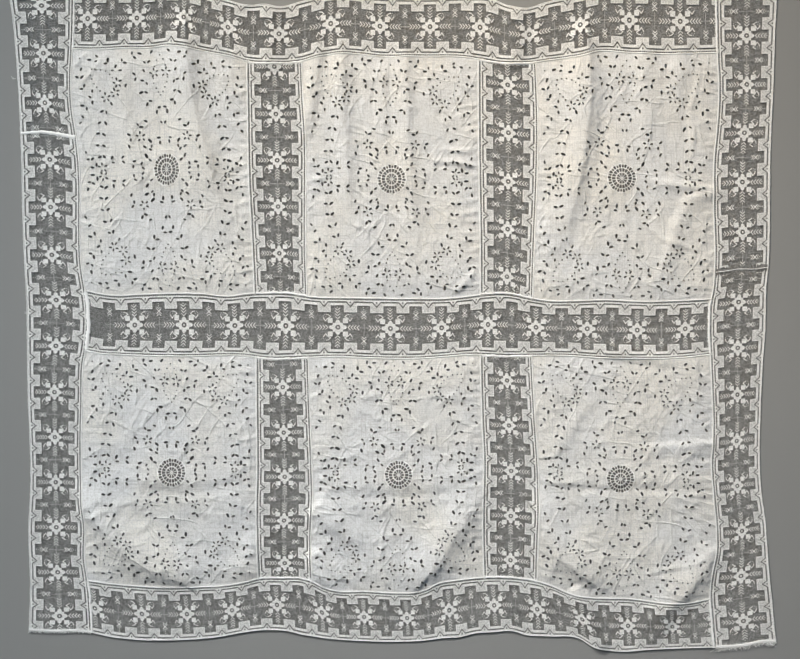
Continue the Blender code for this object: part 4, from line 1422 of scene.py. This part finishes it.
def bump(tree, height, strength, distance, normal=None):
    """The surface's direction on a height from 0 to 1 that stands for a distance."""
    inputs = {"Height": height, "Strength": strength, "Distance": distance}
    if normal is not None:
        inputs["Normal"] = normal
    return add_node(tree, "ShaderNodeBump", inputs).outputs["Normal"]


def woven_bump(tree, period, strength, distance, normal=None):
    """A plain weave as a bump: two sets of rounded bands at right angles, added."""
    inputs = {"Vector": mapped(tree), "Scale": WAVE_LENGTH / period, **WAVE_UNEVEN}
    bands = [add_node(tree, "ShaderNodeTexWave", inputs, bands_direction=way).outputs["Fac"] for way in "XY"]
    return bump(tree, reckoned(tree, "ADD", *bands), strength, distance, normal)


def crease_lines(tree, turn, shift):
    """Sharp creases as a height from 0 to 1: the lines along which stretched noise crosses its mean,
    roughly one way across the cloth, and only in patches. They are turned first and then stretched,
    each by a node of its own, because one node stretches before it turns."""
    turned = mapped(tree, Rotation=(0, 0, np.radians(turn)))
    inputs = {"Vector": turned, "Location": (shift, 0.4 * shift, 0), "Scale": CREASE_STRETCH}
    place = add_node(tree, "ShaderNodeMapping", inputs).outputs["Vector"]
    away = reckoned(tree, "SUBTRACT", noise(tree, place, 1.0, CREASE_SIZES), 0.5)
    line = ramp(tree, reckoned(tree, "ABSOLUTE", away), 0.0, CREASE_BAND, 1.0, 0.0)
    return reckoned(tree, "MULTIPLY", line, patches(tree, *CREASE_PATCHES, Location=(shift, shift, 0)))


def linen_material():
    """Washed white linen: slightly warm and cool patches, fine slubs along both ways of the weave
    and uneven threads, with the weave itself and small soft crumples and sharp creases as bump."""
    material, tree, shader = new_material("washed_linen", roughness=0.82, specular=0.25, sheen=0.12)
    colour = mixed(tree, patches(tree, *TINTS), COOL_LINEN, WARM_LINEN)
    for scale in SLUB_WAYS:
        colour = mixed(tree, patches(tree, *SLUBS, Scale=scale), colour, SLUB)
    colour = mixed(tree, patches(tree, *FIBRES), colour, SLUB)
    tree.links.new(colour, shader.inputs["Base Color"])
    soft = bump(tree, noise(tree, mapped(tree), *CRUMPLES[0]), *CRUMPLES[1])
    height = 0.0
    for number, turn in enumerate(CREASE_TURNS):
        height = reckoned(tree, "ADD", height, crease_lines(tree, turn, number + CREASE_PLACE))
    sharp = bump(tree, height, 1.0, CREASE_HEIGHT, soft)
    tree.links.new(woven_bump(tree, *LINEN_WEAVE, sharp), shader.inputs["Normal"])
    return material


def lace_material():
    """Off-white cotton lace: the piece's tone makes its net dark grey, which is painted shade for the shade
    in the net's ground, and its figures white, both with the fine speckle of uneven threads, and the figures'
    darned weave is bump."""
    material, tree, shader = new_material("cotton_lace", roughness=0.9, specular=0.1, sheen=0.05)
    white = mixed(tree, patches(tree, *LACE_PATCHES), *FIGURE_WHITE)
    speckle = patches(tree, *LACE_SPECKLE)
    white = mixed(tree, speckle, FIGURE_DARK, white)
    grey = mixed(tree, speckle, *NET_SHADE_GREY)
    tree.links.new(toned(tree, grey, white), shader.inputs["Base Color"])
    tree.links.new(woven_bump(tree, *LACE_WEAVE), shader.inputs["Normal"])
    return material


def thread_material():
    """White sewing and embroidery thread, with its twist as a fine bump. Where the piece's tone is 1,
    as on the eyelets' rims, it is dulled to the linen's grey as painted shade in and round the eyelets, and
    the hems are between the two."""
    material, tree, shader = new_material("white_thread", roughness=0.7, specular=0.3, sheen=0.15)
    twist = noise(tree, mapped(tree), *TWIST[0])
    colour = toned(tree, mixed(tree, twist, *PLAIN_THREAD), RIM_SHADE_THREAD)
    tree.links.new(colour, shader.inputs["Base Color"])
    tree.links.new(bump(tree, twist, *TWIST[1]), shader.inputs["Normal"])
    return material


def floor_material():
    """A plain pale grey floor, faintly mottled."""
    material, tree, shader = new_material("plain_floor", roughness=0.9, specular=0.2, sheen=0.0)
    colour = mixed(tree, noise(tree, mapped(tree), *FLOOR_MOTTLE), *FLOOR_GREY)
    tree.links.new(colour, shader.inputs["Base Color"])
    return material


# The studio

CAMERA_HEIGHT = 3.0
CAMERA_MIDDLE = (960, 790.8)    # the point of the plan in the middle of the picture, mm
PICTURE_WIDTH = 1.92            # metres of floor across the picture
SENSOR = 36.0
FLOOR_HALF = 6.0                # half the floor's side, and how far it lies below the cloth, m
FLOOR_DROP = 0.0004
SKY = (0.62, 0.8, 1.0, 1)
SKY_STRENGTH = 0.13

# Lights: name, place, the point that it is turned to and size in metres, power in watts, colour and
# spread in degrees
LIGHTS = (
    ("key", (-1.0, 2.6, 1.6), (0.65, 0.3, 0), (0.4, 0.4), 6.5, (1.0, 0.72, 0.38), 66),
    ("left", (-1.9, 1.6, 1.3), (-0.5, 0.1, 0), (0.4, 0.4), 4.1, (0.14, 0.62, 1.0), 180),
    ("far", (-12.5, 10.5, 9.0), (0.0, -0.2, 0), (2.3, 2.3), 1950, (1.0, 0.965, 0.90), 180),
    ("low", (-1.1, 4.1, 2.2), (0.1, -0.85, 0), (2.6, 0.4), 12.5, (0.95, 0.98, 1.0), 30),
)


def make_camera():
    """A camera straight above the cloth, whose picture is as wide as the photograph's."""
    data = bpy.data.cameras.new("camera")
    data.sensor_width = SENSOR
    data.lens = SENSOR * CAMERA_HEIGHT / PICTURE_WIDTH
    camera = bpy.data.objects.new("camera", data)
    across, down = np.subtract(CAMERA_MIDDLE, PLAN_MIDDLE) * MM
    camera.location = (across, -down, CAMERA_HEIGHT)
    bpy.context.scene.collection.objects.link(camera)
    bpy.context.scene.camera = camera


def add_light(name, place, aim, size, power, colour, spread):
    """An oblong soft light at a place, turned towards a point."""
    data = bpy.data.lights.new(name, "AREA")
    data.shape = "RECTANGLE"
    data.size, data.size_y = size
    data.spread = np.radians(spread)
    data.energy = power
    data.color = colour
    light = bpy.data.objects.new(name, data)
    light.location = place
    light.rotation_euler = (Vector(aim) - Vector(place)).to_track_quat("-Z", "Y").to_euler()
    bpy.context.scene.collection.objects.link(light)


def make_studio():
    """The floor, the lights and the even light from all round."""
    mesh = bpy.data.meshes.new("floor")
    corners = [(FLOOR_HALF * x, FLOOR_HALF * y, 0) for x, y in ((-1, -1), (1, -1), (1, 1), (-1, 1))]
    mesh.from_pydata(corners, [], [(0, 1, 2, 3)])
    mesh.materials.append(floor_material())
    floor = bpy.data.objects.new("floor", mesh)
    floor.location.z = -FLOOR_DROP
    bpy.context.scene.collection.objects.link(floor)
    for light in LIGHTS:
        add_light(*light)
    world = bpy.data.worlds.new("studio")
    world.use_nodes = True
    background = world.node_tree.nodes["Background"]
    background.inputs["Color"].default_value = SKY
    background.inputs["Strength"].default_value = SKY_STRENGTH
    bpy.context.scene.world = world
    bpy.context.scene.view_settings.view_transform = "Standard"


make_camera()
make_studio()
linen, lace, thread = linen_material(), lace_material(), thread_material()
make_seams(thread)
make_stitches(thread)
for name in PANELS:
    eyelets = panel_eyelets(name)
    sheet = make_linen(name, eyelets, linen)
    embroidery = make_embroidery(name, eyelets, thread)
figures = lace_figures()
for name, (_, way, _, _) in LACES.items():
    band = make_lace(name, figures, lace)
